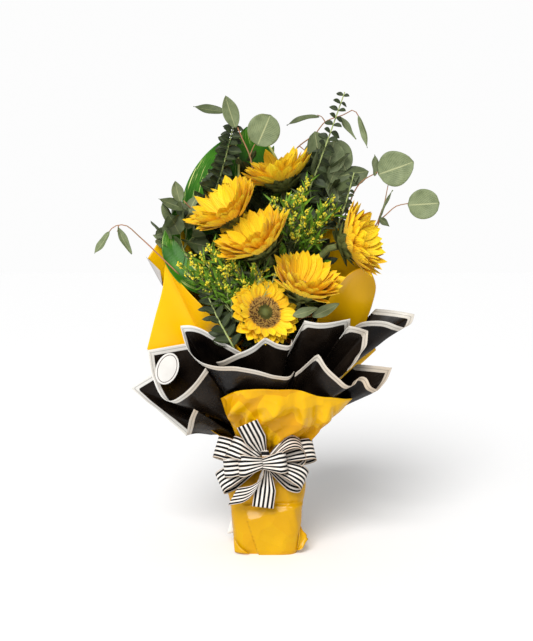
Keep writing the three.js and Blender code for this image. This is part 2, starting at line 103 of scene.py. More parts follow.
# ---- the studio, in metres ----
CAMERA_TARGET = Vector((0, 0, 0.380))
CAMERA_DISTANCE = 1.6
CAMERA_PITCH = 5
CAMERA_LENS = 54.44
BACKDROP_LIGHT = 0.43
BACKDROP_SEEN = 0.98
SUN_WAY = Vector((0.24, 0.95, -0.78))
FILL_AT = Vector((-1.6, -1.6, 0.9))
FILL_TARGET = Vector((0, 0, 0.4))

noise.seed_set(NOISE_SEED)


# ---- small tools ----
def mix(a, b, t):
    return a + (b - a) * t


def smooth_step(low, high, x):
    t = min(1.0, max(0.0, (x - low) / (high - low)))
    return t * t * (3 - 2 * t)


def zigzag(x):
    """A wave with straight flanks, 1 at every whole number and 0 halfway between."""
    return abs((x % 1.0) * 2 - 1)


def smooth_curve(points, samples=None):
    """Evenly spaced points along a centripetal curve through the points, in the points' own unit."""
    pts = [Vector(p) for p in points]
    ends = [pts[0] * 2 - pts[1]] + pts + [pts[-1] * 2 - pts[-2]]
    dense = []
    steps = 16
    for a, b, c, d in zip(ends, ends[1:], ends[2:], ends[3:]):
        t1 = max((b - a).length, 1e-6) ** 0.5
        t2 = t1 + max((c - b).length, 1e-6) ** 0.5
        t3 = t2 + max((d - c).length, 1e-6) ** 0.5
        for i in range(steps):
            t = mix(t1, t2, i / steps)
            ab = a.lerp(b, t / t1)
            bc = b.lerp(c, (t - t1) / (t2 - t1))
            cd = c.lerp(d, (t - t2) / (t3 - t2))
            abc = ab.lerp(bc, t / t2)
            bcd = bc.lerp(cd, (t - t1) / (t3 - t1))
            dense.append(abc.lerp(bcd, (t - t1) / (t2 - t1)))
    dense.append(pts[-1])
    reach = [0.0]
    for a, b in zip(dense, dense[1:]):
        reach.append(reach[-1] + (b - a).length)
    count = samples or max(2, round(reach[-1] / SHEET_FACET) + 1)
    even = []
    k = 0
    for i in range(count):
        want = reach[-1] * i / (count - 1)
        while k < len(reach) - 2 and reach[k + 1] < want:
            k += 1
        share = (want - reach[k]) / max(reach[k + 1] - reach[k], 1e-9)
        even.append(dense[k].lerp(dense[k + 1], share))
    return even


def heading(path, k):
    return (path[min(k + 1, len(path) - 1)] - path[max(k - 1, 0)]).normalized()


def around(side, other, angle):
    return side * math.cos(angle) + other * math.sin(angle)


def finish_piece(name, bm, materials, node=None, slot=None, thickness=0.0, keep_normals=False, smooth=True):
    """Turns a bmesh into one of the bouquet's pieces, in place of the CAD nodes that it stands for."""
    if not keep_normals:
        bmesh.ops.recalc_face_normals(bm, faces=bm.faces)
    mesh = bpy.data.meshes.new(name)
    bm.to_mesh(mesh)
    bm.free()
    for look in materials:
        mesh.materials.append(look)
    for face in mesh.polygons:
        face.use_smooth = smooth
    piece = bpy.data.objects.new(name, mesh)
    SCENE.collection.objects.link(piece)
    if thickness:
        shell = piece.modifiers.new("thickness", "SOLIDIFY")
        shell.thickness = thickness * MM
        shell.offset = 0
    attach(piece, "root")
    if node:
        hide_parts(*([node] if isinstance(node, str) else node))
    return piece


def node_of(name):
    return None if name in WITHOUT_NODE else name


def bent_grid(bm, columns, rows, place):
    """A grid of facets whose corners go where place(u, v) says, with u and v kept as its UV map."""
    uv_map = bm.loops.layers.uv.get("UVMap") or bm.loops.layers.uv.new("UVMap")
    verts = bmesh.ops.create_grid(bm, x_segments=columns, y_segments=rows, size=0.5)["verts"]
    at = {vert: (vert.co.x + 0.5, vert.co.y + 0.5) for vert in verts}
    for face in {f for vert in verts for f in vert.link_faces}:
        for loop in face.loops:
            loop[uv_map].uv = at[loop.vert]
    for vert, (u, v) in at.items():
        vert.co = place(u, v)
    return at


def tube(bm, points, radii, sides=8):
    """A closed round limb through points in millimetres, tapering from the first radius to the last."""
    path = smooth_curve(points, max(3, len(points) * 3))
    steps = len(path) - 1
    side = (path[1] - path[0]).cross(Vector((0.3, -1, 0.2))).normalized()
    rings = []
    for k, point in enumerate(path):
        ahead = heading(path, k)
        side = (side - ahead * side.dot(ahead)).normalized()
        turn = Matrix((side, ahead.cross(side), ahead)).transposed().to_4x4()
        radius = mix(radii[0], radii[1], k / steps) * MM
        place = Matrix.Translation(point * MM) @ turn
        rings.append(bmesh.ops.create_circle(bm, segments=sides, radius=radius, matrix=place)["verts"])
    for low, high in zip(rings, rings[1:]):
        for i in range(sides):
            j = (i + 1) % sides
            bm.faces.new((low[i], low[j], high[j], high[i]))
    bm.faces.new(list(reversed(rings[0])))
    bm.faces.new(rings[-1])


def small_mesh(bm, look=0):
    """A mesh to be stamped many times, all in one look."""
    for face in bm.faces:
        face.material_index = look
    mesh = bpy.data.meshes.new("stamped")
    bm.to_mesh(mesh)
    bm.free()
    return mesh


def stamp(bm, template, matrix):
    """Adds a copy of a small mesh, placed by the matrix."""
    copy = template.copy()
    copy.transform(matrix)
    bm.from_mesh(copy)
    bpy.data.meshes.remove(copy)


def remove_meshes(meshes):
    for mesh in meshes:
        bpy.data.meshes.remove(mesh)


def standing(at, up):
    """The matrix that stands a small mesh at a point in metres, with its +Z along the given way."""
    return Matrix.Translation(at) @ up.to_track_quat("Z", "Y").to_matrix().to_4x4()


def facing(at, along, face, scale=1.0):
    """The matrix that puts a blade's foot at a point in metres, running along one way and facing another."""
    along = Vector(along).normalized()
    face = Vector(face)
    face = face - along * face.dot(along)
    if face.length < 1e-4:
        face = along.orthogonal()
    face.normalize()
    turn = Matrix((along.cross(face), along, face)).transposed().to_4x4()
    return Matrix.Translation(at) @ turn @ Matrix.Scale(scale, 4)


def stray(chance, amount):
    return Vector([chance.uniform(-amount, amount) for _ in range(3)])


# ---- materials ----
def new_material(name, colour, roughness, specular=0.5, sheen=0.0):
    look = bpy.data.materials.new(name)
    look.use_nodes = True
    shader = look.node_tree.nodes["Principled BSDF"]
    shader.inputs["Base Color"].default_value = (*colour, 1)
    shader.inputs["Roughness"].default_value = roughness
    shader.inputs["Specular IOR Level"].default_value = specular
    shader.inputs["Sheen Weight"].default_value = sheen
    return look, shader


def feed(look, socket, value):
    """Links a socket to another node's output, or sets its own number, vector or colour."""
    if isinstance(value, bpy.types.NodeSocket):
        look.node_tree.links.new(value, socket)
    elif socket.type == "RGBA":
        socket.default_value = (*value, 1)
    else:
        socket.default_value = value


def add_node(look, kind, inputs=None, **settings):
    made = look.node_tree.nodes.new(kind)
    for key, value in settings.items():
        setattr(made, key, value)
    for key, value in (inputs or {}).items():
        feed(look, made.inputs[key], value)
    return made


def object_place(look):
    return add_node(look, "ShaderNodeTexCoord").outputs["Object"]


def uv_axes(look):
    place = add_node(look, "ShaderNodeUVMap", uv_map="UVMap").outputs["UV"]
    axes = add_node(look, "ShaderNodeSeparateXYZ", {"Vector": place})
    return axes.outputs["X"], axes.outputs["Y"]


def noise_value(look, place, scale, detail=3.0, output="Fac"):
    made = add_node(look, "ShaderNodeTexNoise", {"Vector": place, "Scale": scale, "Detail": detail})
    return made.outputs[output]


def maths(look, operation, *values):
    return add_node(look, "ShaderNodeMath", dict(enumerate(values)), operation=operation).outputs[0]


def ripples(look, value, rate):
    return maths(look, "SINE", maths(look, "MULTIPLY", value, rate))


def off_middle(look, across):
    return maths(look, "ABSOLUTE", maths(look, "SUBTRACT", across, 0.5))


def remap(look, value, low, high, to_low=0.0, to_high=1.0):
    inputs = {"Value": value, "From Min": low, "From Max": high, "To Min": to_low, "To Max": to_high}
    return add_node(look, "ShaderNodeMapRange", inputs).outputs["Result"]


def colour_ramp(look, value, stops):
    made = add_node(look, "ShaderNodeValToRGB", {"Fac": value})
    ramp = made.color_ramp
    while len(ramp.elements) < len(stops):
        ramp.elements.new(0.5)
    for element, (place, colour) in zip(ramp.elements, stops):
        element.position = place
        element.color = (*colour, 1)
    return made.outputs["Color"]


def blend_colours(look, share, first, second, kind="MIX"):
    inputs = {0: share, 6: first, 7: second}
    return add_node(look, "ShaderNodeMix", inputs, data_type="RGBA", blend_type=kind).outputs[2]


def paint(look, shader, colour):
    feed(look, shader.inputs["Base Color"], colour)


def add_bump(look, shader, height, strength, distance):
    bump = add_node(look, "ShaderNodeBump", {"Height": height, "Strength": strength, "Distance": distance})
    feed(look, shader.inputs["Normal"], bump.outputs["Normal"])


def crumpled_cells(look, place, scale):
    """Cells of handled film: their edges wander, so that they don't look regular."""
    warp = noise_value(look, place, scale * 0.5, 2.0, "Color")
    inputs = {0: warp, 1: (0.5 / scale,) * 3, 2: place}
    moved = add_node(look, "ShaderNodeVectorMath", inputs, operation="MULTIPLY_ADD").outputs[0]
    return add_node(look, "ShaderNodeTexVoronoi", {"Vector": moved, "Scale": scale})


def yellow_film(name, creases, painted_crease_shade, depth):
    """Satin film: how strongly it is creased, how much painted shade lies in patches over its crumples, and
    how light this copy of the film is painted for the light on its part.
    """
    look, shader = new_material(name, (0.9, 0.46, 0.004), 0.24, 0.2)
    place = object_place(look)
    # The tones are scaled by depth: the foot and collar copies of the one film are painted darker as painted
    # shade.
    shades = [(0.3, (0.76 * depth, 0.40 * depth, 0.001)), (0.7, (0.88 * depth, 0.49 * depth, 0.002))]
    body = colour_ramp(look, noise_value(look, place, 9.0), shades)
    # Painted shade: random cells of the crumpled film are darkened towards deep orange to stand in for the
    # shade in its hollows.
    patch = maths(look, "ADD", crumpled_cells(look, place, 24.0).outputs["Color"], 0.0)
    crease_shade_share = remap(look, patch, 0.4, 0.6, 0.0, painted_crease_shade)
    paint(look, shader, blend_colours(look, crease_shade_share, body, (0.52, 0.20, 0.001)))
    fine = noise_value(look, place, 260.0, 2.0)
    folds = crumpled_cells(look, place, 34.0).outputs["Distance"]
    add_bump(look, shader, maths(look, "MULTIPLY_ADD", fine, 0.02, folds), creases, 0.006)
    return look


def black_film():
    """Black film whose rim has a pale border, with a thin grey line along its middle."""
    look, shader = new_material("black_film", (0.012, 0.010, 0.008), 0.26, 0.16)
    place = object_place(look)
    # Random warm tone of the black, whose lighter brown patches are also painted sheen.
    blacks_and_sheen = [(0.35, (0.0015, 0.001, 0.001)), (0.72, (0.018, 0.012, 0.008))]
    dark = colour_ramp(look, noise_value(look, place, 14.0), blacks_and_sheen)
    # The border's pale tones: its greys are its own, the tan patches are painted shade.
    pales_and_shade = [(0.36, (0.55, 0.45, 0.34)), (0.5, (0.64, 0.62, 0.57)), (0.7, (0.73, 0.72, 0.69))]
    pale = colour_ramp(look, noise_value(look, place, 5.0, 1.0), pales_and_shade)
    edge = add_node(look, "ShaderNodeAttribute", attribute_name="edge").outputs["Fac"]
    white, grey = (1, 1, 1), (0.6, 0.6, 0.6)
    line = [(0.0, white), (0.21, white), (0.23, grey), (0.27, grey), (0.29, white)]
    lines = colour_ramp(look, remap(look, edge, 0.0, 2 * BORDER_WIDTH), line)
    inside = remap(look, edge, BORDER_WIDTH - 0.4, BORDER_WIDTH + 0.4)
    border = blend_colours(look, 1.0, pale, lines, "MULTIPLY")
    paint(look, shader, blend_colours(look, inside, border, dark))
    wear = noise_value(look, place, 60.0)
    feed(look, shader.inputs["Roughness"], remap(look, wear, 0.3, 0.7, 0.20, 0.34))
    add_bump(look, shader, crumpled_cells(look, place, 20.0).outputs["Distance"], 0.10, 0.004)
    return look


def striped_ribbon():
    """Woven cream ribbon with five black stripes along it and a wired edge to either side."""
    look, shader = new_material("striped_ribbon", (0.8, 0.76, 0.7), 0.65, 0.12, 0.05)
    across, along = uv_axes(look)
    stripe = maths(look, "PINGPONG", maths(look, "MULTIPLY", across, 5.0), 0.5)
    inked = remap(look, stripe, 0.23, 0.26)
    creams = [(0.3, (0.70, 0.62, 0.54)), (0.7, (0.86, 0.82, 0.76))]
    cream = colour_ramp(look, noise_value(look, object_place(look), 40.0), creams)
    weave = blend_colours(look, inked, cream, (0.006, 0.006, 0.007))
    wired = remap(look, off_middle(look, across), 0.472, 0.482)
    paint(look, shader, blend_colours(look, wired, weave, (0.42, 0.29, 0.17)))
    add_bump(look, shader, ripples(look, along, 1500.0), 0.25, 0.0003)
    return look


def petal_look(name, tip, middle, base):
    look, shader = new_material(name, tip, 0.5, 0.3, 0.1)
    shader.inputs["Subsurface Weight"].default_value = 0.08
    shader.inputs["Subsurface Radius"].default_value = (0.006, 0.003, 0.001)
    across, along = uv_axes(look)
    body = colour_ramp(look, along, [(0.0, base), (0.35, middle), (0.9, tip)])
    rays = ripples(look, across, 44.0)
    speckle = noise_value(look, object_place(look), 120.0)
    streak = remap(look, maths(look, "MULTIPLY_ADD", rays, 0.12, speckle), 0.3, 0.7)
    paint(look, shader, blend_colours(look, streak, blend_colours(look, 0.22, body, base), body))
    add_bump(look, shader, rays, 0.5, 0.0006)
    return look


def leaf_look(name, light, dark, rib, roughness=0.5):
    """A speckled leaf with a pale midrib and fine slanting veins."""
    look, shader = new_material(name, light, roughness, 0.35)
    across, along = uv_axes(look)
    body = colour_ramp(look, noise_value(look, object_place(look), 90.0), [(0.3, dark), (0.7, light)])
    aside = off_middle(look, across)
    veins = ripples(look, maths(look, "MULTIPLY_ADD", aside, -1.2, along), 70.0)
    veined = blend_colours(look, remap(look, veins, 0.86, 1.0, 0.0, 0.35), body, rib)
    paint(look, shader, blend_colours(look, remap(look, aside, 0.012, 0.03), rib, veined))
    add_bump(look, shader, veins, 0.3, 0.0004)
    return look


def grained(name, light, dark, roughness=0.55, scale=160.0):
    """A plain surface with a fine grain, for stems, florets, buds and paper."""
    look, shader = new_material(name, light, roughness, 0.3)
    grain = noise_value(look, object_place(look), scale)
    paint(look, shader, colour_ramp(look, grain, [(0.3, dark), (0.7, light)]))
    add_bump(look, shader, grain, 0.4, 0.0008)
    return look


def broad_leaf_look():
    """Deep green with a cream edge to one side and cream streaks in patches."""
    look, shader = new_material("broad_leaf", (0.03, 0.17, 0.004), 0.34, 0.25)
    across, along = uv_axes(look)
    place = object_place(look)
    greens = [(0.3, (0.012, 0.085, 0.001)), (0.7, (0.045, 0.20, 0.003))]
    green = colour_ramp(look, noise_value(look, place, 26.0), greens)
    fanned = maths(look, "MULTIPLY_ADD", across, 46.0, maths(look, "MULTIPLY", along, 10.0))
    drawn_out = {"X": fanned, "Y": maths(look, "MULTIPLY", along, 5.0)}
    stretched = add_node(look, "ShaderNodeCombineXYZ", drawn_out).outputs[0]
    streaks = remap(look, noise_value(look, stretched, 1.0, 4.0), 0.58, 0.64)
    patch = remap(look, noise_value(look, place, 16.0, 1.0), 0.52, 0.6)
    edge = remap(look, across, 0.93, 0.97)
    cream_share = maths(look, "MAXIMUM", maths(look, "MULTIPLY", streaks, patch), edge)
    paint(look, shader, blend_colours(look, cream_share, green, (0.62, 0.66, 0.22)))
    add_bump(look, shader, ripples(look, across, 120.0), 0.2, 0.0005)
    return look


# ---- the wrapped foot ----
def foot_size(z):
    for low, high in zip(FOOT_NARROWING, FOOT_NARROWING[1:]):
        if z <= high[0]:
            t = smooth_step(low[0], high[0], z) * 0.5 + 0.5 * (z - low[0]) / (high[0] - low[0])
            return mix(low[1], high[1], t), mix(low[2], high[2], t)
    return FOOT_NARROWING[-1][1:]


def crease(point, scale, seed):
    """A height between 0 and about 1 with sharp folds, for a point in millimetres."""
    warped = point / scale + Vector((seed, seed * 0.7, seed * 1.3))
    warped = warped + noise.noise_vector(warped * 0.7) * 0.5
    distances, _ = noise.voronoi(warped)
    return distances[0]


def fan_folds(angle, v):
    """Sharp ridges that fan out from the knot over a collar, and folds across them, in millimetres."""
    drift = angle + 0.22 * math.sin(v * 5 + angle * 2)
    ridge = zigzag(drift * 1.9 + 0.3)
    narrow = zigzag(drift * 4.3 + 0.8 * v)
    across = zigzag(v * 2.3 + 0.35 * math.sin(angle * 3.1) + 0.2)
    ridges = 17.0 * ridge * v
    creases = 9.0 * (narrow - 0.4) * (1 - 0.7 * v)
    crossings = 10.0 * (across - 0.4) * ridge * v
    return 2.0 + ridges + creases + crossings


def foot_folds(x, z):
    """How far the foot's front stands proud, in millimetres: the flap's edge and the fold that leans back."""
    edge = x + 14 + 0.30 * (z - 5)
    over_flap = smooth_step(-0.7, 0.7, edge)
    flap = FLAP_STEP * over_flap * smooth_step(FLAP_TOP + 2, FLAP_TOP - 2, z)
    above_fold = max(0.0, min(z - 57 - 0.28 * (x + 34), FLAP_TOP - z + 12))
    lean = -min(above_fold, 28.0) * FLAP_LEAN * over_flap * smooth_step(FLAP_TOP + 12, FLAP_TOP, z)
    upper = 3.0 * max(0.0, min(1.0, (z - FLAP_TOP) / 14))
    side_crease = 3.0 * max(0.0, 1 - abs(x - 44 + 0.3 * (z - 60)) / 8) * smooth_step(30, 60, z)
    return flap + lean + upper + side_crease


def wrapped_foot(film):
    bm = bmesh.new()
    top = FOOT_NARROWING[-1][0]

    def surface(u, v):
        angle = math.tau * u
        z = top * v
        half_width, half_depth = foot_size(z)
        x, y = math.sin(angle), -math.cos(angle)
        reach = (abs(x) ** FOOT_SQUARENESS + abs(y) ** FOOT_SQUARENESS) ** (-1 / FOOT_SQUARENESS)
        point = Vector((half_width * x * reach, half_depth * y * reach, z))
        outward = Vector((x * reach, y * reach, 0)).normalized()
        frontness = smooth_step(0.45, 0.9, -outward.y)
        gather = smooth_step(118, 150, z)
        proud = frontness * foot_folds(point.x, z) * (1 - gather)
        crumpled = smooth_step(4, 30, z) * (0.3 + 0.9 * smooth_step(60, 120, z))
        proud += 4.5 * (crease(point, 40, 3.1) - 0.45) * crumpled
        proud += 1.6 * gather * math.sin(angle * 26 + 3 * noise.noise(point * 0.05))
        return (point + outward * proud) * MM

    bent_grid(bm, 200, 130, surface)
    bmesh.ops.remove_doubles(bm, verts=bm.verts, dist=1e-6)
    rims = [e for e in bm.edges if e.is_boundary]
    bmesh.ops.holes_fill(bm, edges=rims, sides=0)
    finish_piece("wrapped_foot", bm, [film], "foot", "paper_yellow")


def foot_corners(film, pale):
    """The folded ear at the foot's right, the turned-under corner at its left and a pale tab behind."""
    bm = bmesh.new()
    steps = 13
    ear = [(50, -44, 7), (57, -44, 8), (65, -38, 20), (66, -34, 30), (60, -34, 36), (56, -36, 46)]
    inner = [(48, -49, 8), (51, -48, 12), (52, -47, 20), (53, -46, 28), (54, -44, 36), (55, -40, 47)]
    outer_edge = smooth_curve(ear, steps + 1)
    inner_edge = smooth_curve(inner, steps + 1)
    outer_edge[6] += Vector((3, 0, 2))

    def ear_surface(u, v):
        k = round(v * steps)
        point = inner_edge[k].lerp(outer_edge[k], u)
        point.y += 3 * math.sin(u * math.pi * 1.5)
        return point * MM

    bent_grid(bm, 8, steps, ear_surface)
    columns = 11
    left_low = smooth_curve([(-52, -44, 3), (-40, -49, 2), (-28, -50, 2)], columns + 1)
    left_high = smooth_curve([(-54, -40, 26), (-44, -49, 14), (-30, -50, 4)], columns + 1)

    def corner_surface(u, v):
        k = round(u * columns)
        point = left_low[k].lerp(left_high[k], v)
        point.y -= 2.2 * math.sin(v * math.pi) + 0.5
        return point * MM

    bent_grid(bm, columns, 6, corner_surface)
    finish_piece("foot_folds", bm, [film], slot="paper_yellow", thickness=SHEET_THICK)
    bm = bmesh.new()

    def tab_surface(u, v):
        low = Vector((mix(-66, -48, u), 6, 18 + 3 * u))
        high = Vector((mix(-58, -48, u), 2, 52))
        return low.lerp(high, v) * MM

    bent_grid(bm, 4, 6, tab_surface)
    finish_piece("foot_tab", bm, [pale], slot="label", thickness=SHEET_THICK)


# ---- wrapping sheets ----
# Each sheet runs from feet on the neck, as (angle round the neck, ring size) at each corner, to its rim, as
# strokes that meet at the corners. The angle is 0 at the front and grows towards +X.
COLLARS = {
    "collar_front": dict(
        foot_z=NECK_Z, feet=[(-66, 1.06), (74, 1.06)], sag=12, fan=1.0,
        rim=[[(-72, -86, 265), (-54, -108, 277), (-29, -128, 286), (13, -138, 286), (50, -134, 284),
              (88, -122, 273), (133, -104, 268)]],
    ),
    "collar_back": dict(
        foot_z=NECK_Z, feet=[(66, 1.0), (292, 1.1)], sag=4, fan=0.25,
        rim=[[(128, -98, 260), (128, 0, 258), (70, 72, 262), (0, 90, 266), (-62, 68, 250),
              (-104, 10, 234), (-98, -58, 216)]],
    ),
}
BLACK_SHEETS = {
    "black_front_left": dict(
        foot_z=186, feet=[(-15, 1.2), (-60, 1.25), (22, 1.4)], sag=-16,
        rim=[
            [(-39, -112, 341), (-69, -102, 357), (-96, -88, 370), (-120, -76, 378), (-135, -74, 378)],
            [(-135, -74, 378), (-125, -95, 350), (-102, -122, 330), (-78, -138, 323), (-40, -150, 322),
             (-13, -154, 318), (13, -155, 312), (34, -152, 310), (41, -144, 316)],
        ],
    ),
    "black_right_low": dict(
        foot_z=186, feet=[(26, 1.35), (32, 1.4), (62, 1.4), (76, 1.3), (66, 1.2)], sag=-14,
        rim=[
            [(45, -145, 312), (60, -144, 324), (78, -141, 339)],
            [(78, -141, 339), (90, -146, 322), (108, -148, 306), (123, -146, 294), (133, -138, 295),
             (142, -130, 305), (152, -128, 303), (159, -130, 290), (171, -120, 282)],
            [(171, -120, 282), (186, -98, 296), (198, -78, 312)],
            [(198, -78, 312), (173, -62, 313), (145, -50, 314)],
        ],
    ),
    "black_left_label": dict(
        foot_z=198, feet=[(-84, 1.05), (-88, 1.1), (-50, 1.12)], sag=-8,
        rim=[
            [(-124, -30, 346), (-160, -38, 341), (-192, -45, 336)],
            [(-192, -45, 336), (-183, -60, 296), (-163, -82, 263), (-149, -96, 261), (-117, -118, 286),
             (-93, -124, 318)],
        ],
    ),
    "black_left_low": dict(
        foot_z=186, feet=[(-112, 1.25), (-104, 1.3), (-86, 1.35), (-66, 1.4)], sag=-6,
        rim=[
            [(-157, 0, 311), (-190, -10, 292), (-224, -20, 272)],
            [(-224, -20, 272), (-175, -45, 237), (-129, -62, 200)],
            [(-129, -62, 200), (-120, -95, 230), (-112, -106, 250)],
        ],
    ),
    "black_right_high": dict(
        foot_z=198, feet=[(66, 1.1), (78, 1.1), (90, 1.08), (100, 1.06)], sag=-30,
        rim=[
            [(140, -72, 379), (151, -68, 384), (171, -62, 386), (191, -60, 383), (208, -55, 376),
             (221, -45, 372)],
            [(221, -45, 372), (234, -28, 380), (241, -12, 393)],
            [(241, -12, 393), (212, 2, 396), (182, 14, 398)],
        ],
    ),
    "black_front_centre": dict(
        foot_z=194, feet=[(-40, 1.06), (-8, 1.1), (10, 1.1)], sag=-18,
        rim=[
            [(-77, -118, 326), (-68, -124, 329), (-40, -131, 342), (-20, -134, 353), (-2, -135, 365)],
            [(-2, -135, 365), (16, -137, 356), (37, -137, 355), (39, -130, 362)],
        ],
    ),
    "black_right_inner": dict(
        foot_z=198, feet=[(36, 1.08), (44, 1.1), (60, 1.1), (52, 1.14)], sag=-14,
        rim=[
            [(118, -104, 368), (128, -100, 380)],
            [(128, -100, 380), (142, -96, 377), (159, -86, 371)],
            [(159, -86, 371), (155, -92, 350), (142, -104, 328), (131, -110, 316)],
        ],
    ),
    "black_front_right": dict(
        foot_z=200, feet=[(8, 0.96), (14, 0.97), (38, 1.0), (50, 0.98)], sag=-16,
        rim=[
            [(32, -112, 340), (58, -108, 390)],
            [(58, -108, 390), (82, -110, 386), (107, -106, 387), (130, -96, 391)],
            [(130, -96, 391), (131, -82, 372), (130, -76, 350)],
        ],
    ),
    "black_back": dict(
        foot_z=188, feet=[(-120, 1.2), (-242, 1.2)], sag=0,
        rim=[[(-190, 26, 292), (-158, 70, 331), (-91, 105, 350), (1, 118, 360), (94, 108, 357),
              (165, 75, 366), (208, 38, 361)]],
    ),
}
YELLOW_SHEETS = {
    "yellow_left": dict(
        foot_z=206, feet=[(-84, 0.86), (-76, 0.86), (-18, 0.86)], sag=8,
        rim=[
            [(-194, -30, 336), (-181, -28, 387), (-168, -25, 437), (-164, -25, 474)],
            [(-164, -25, 474), (-129, -60, 437), (-83, -88, 392), (-39, -104, 344)],
        ],
    ),
    "yellow_right": dict(
        foot_z=206, feet=[(24, 0.86), (84, 0.86), (94, 0.86)], sag=8,
        rim=[
            [(80, -94, 396), (107, -82, 435), (132, -60, 461), (161, -35, 468), (178, -15, 439),
             (173, -5, 406), (164, 0, 378)],
            [(164, 0, 378), (182, 5, 330)],
        ],
    ),
    "yellow_back": dict(
        foot_z=206, feet=[(-90, 0.86), (-96, 0.86), (-102, 0.86), (-254, 0.86), (-260, 0.86)], sag=10,
        rim=[
            [(-168, -16, 438), (-194, -8, 483)],
            [(-194, -8, 483), (-171, 10, 521)],
            [(-171, 10, 521), (-130, 58, 543), (-63, 84, 560), (1, 92, 566), (75, 85, 560), (122, 65, 550),
             (166, 35, 532)],
            [(166, 35, 532), (180, 10, 470)],
        ],
    ),
}


def turned_corner(pale):
    """The pale underside of the film where the yellow sheet behind turns over at its left."""
    bm = bmesh.new()

    def surface(u, v):
        outer = Vector((-196, -11, 485))
        edge = Vector((-169, -20, 438)).lerp(Vector((-172, -25, 463)), u)
        return outer.lerp(edge, v) * MM

    bent_grid(bm, 4, 6, surface)
    finish_piece("turned_corner", bm, [pale], slot="label", thickness=SHEET_THICK)


def neck_point(angle, ring, z):
    a = math.radians(angle)
    return Vector((NECK[0] * ring * math.sin(a), -NECK[1] * ring * math.cos(a), z))


def wrapping_sheet(name, film, slot, foot_z, feet, rim, sag, crumple, gather=2.0, wave=2.5, fan=0.0):
    """A sheet of film from the tied neck to its rim, gathered at the neck, softly waved and creased.

    It keeps each corner's distance from the bare rim, in millimetres, for the border.
    """
    columns = []
    for k, stroke in enumerate(rim):
        along = smooth_curve(stroke)
        for i, point in enumerate(along):
            if k and not i:
                continue
            t = i / (len(along) - 1)
            angle = mix(feet[k][0], feet[k + 1][0], t)
            ring = mix(feet[k][1], feet[k + 1][1], t)
            start = neck_point(angle, ring, foot_z)
            middle = start.lerp(point, 0.5)
            middle.z -= sag
            columns.append((start, middle, point, angle))
    last = len(columns) - 1
    longest = max((rim_point - start).length for start, _, rim_point, _ in columns)
    rows = round(longest / SHEET_FACET)
    seed = sum(ord(letter) for letter in name)

    def bare(k, v):
        start, middle, point, _ = columns[min(last, max(0, k))]
        return start * (1 - v) ** 2 + middle * 2 * v * (1 - v) + point * v**2

    def surface(u, v):
        k = round(u * last)
        point = bare(k, v)
        along = bare(k + 1, v) - bare(k - 1, v)
        up = bare(k, min(1, v + 0.02)) - bare(k, max(0, v - 0.02))
        normal = along.cross(up)
        if normal.length < 1e-6:
            return point * MM
        normal.normalize()
        angle = math.radians(columns[k][3])
        pleats = gather * math.exp(-v * 4) * math.sin(angle * 15 + seed + 2 * v)
        waves = wave * v * noise.noise(Vector((u * 5, v * 2.5, seed * 0.37)))
        folds = crumple * (crease(point, 42, seed * 0.11) - 0.5) * (0.5 + math.exp(-v * 3))
        folds += fan * fan_folds(angle, v) * smooth_step(1.0, 0.8, v) * smooth_step(0, 0.1, min(u, 1 - u))
        return (point + normal * (pleats + waves + folds)) * MM

    bm = bmesh.new()
    edge = bm.verts.layers.float.new("edge")
    outline = [column[2] for column in columns]
    at = bent_grid(bm, last, rows, surface)
    for vert, (u, v) in at.items():
        k = round(u * last)
        flat = bare(k, v)
        near = FAR_FROM_RIM
        if (outline[k] - flat).length < 6 * BORDER_WIDTH:
            nearby = outline[max(0, k - BORDER_REACH) : k + BORDER_REACH + 1]
            near = min((p - flat).length_squared for p in nearby) ** 0.5
            for a, b in zip(nearby, nearby[1:]):
                if (a - flat).length < near + 2 * SHEET_FACET:
                    t = max(0.0, min(1.0, (flat - a).dot(b - a) / (b - a).length_squared))
                    near = min(near, (a.lerp(b, t) - flat).length)
        vert[edge] = near
    finish_piece(name, bm, [film], name, slot, thickness=SHEET_THICK)


# ---- ribbon bow ----
# Each loop: the way out from the knot in degrees, length, swell to the front, how far behind the knot's face
# it starts, roll about its own way, share of its width at the knot, and how far from the middle it starts.
LOOPS = {
    "loop_right_front": dict(angle=7, length=42, bulge=14, lift=-18, roll=-8, pinch=0.45, inset=-6),
    "loop_left_front": dict(angle=186, length=44, bulge=14, lift=-13, roll=8, pinch=0.45, inset=-3),
    "loop_right_upper": dict(angle=22, length=62, bulge=22, lift=-8, roll=-58, pinch=0.45),
    "loop_left_upper": dict(angle=154, length=56, bulge=14, lift=-8, roll=20, pinch=0.5),
    "loop_right_lower": dict(angle=-28, length=68, bulge=18, lift=-4, roll=-35, pinch=0.5),
    "loop_left_lower": dict(angle=208, length=76, bulge=12, lift=2, roll=30, pinch=0.4),
    "loop_right_rear": dict(angle=13, length=78, bulge=14, lift=2, roll=-30, pinch=0.5),
    "loop_left_middle": dict(angle=186, length=60, bulge=13, lift=-6, roll=8, pinch=0.7),
    "loop_left_rear": dict(angle=163, length=76, bulge=13, lift=2, roll=20, pinch=0.5),
}
TAILS = {  # the strip's middle line and the way across it
    "tail_upper": dict(points=[(-6, -70, 172), (-17, -94, 200), (-30, -116, 230)], across=(0.93, 0, 0.40)),
    "tail_lower": dict(
        points=[(-7, -84, 148), (-12, -90, 128), (-28, -84, 112), (-54, -76, 104)], across=(0.45, -0.2, 0.88),
    ),
    "tail_foot": dict(points=[(0, -72, 146), (-2, -78, 118), (-6, -74, 86)], across=(1, 0, -0.12)),
}


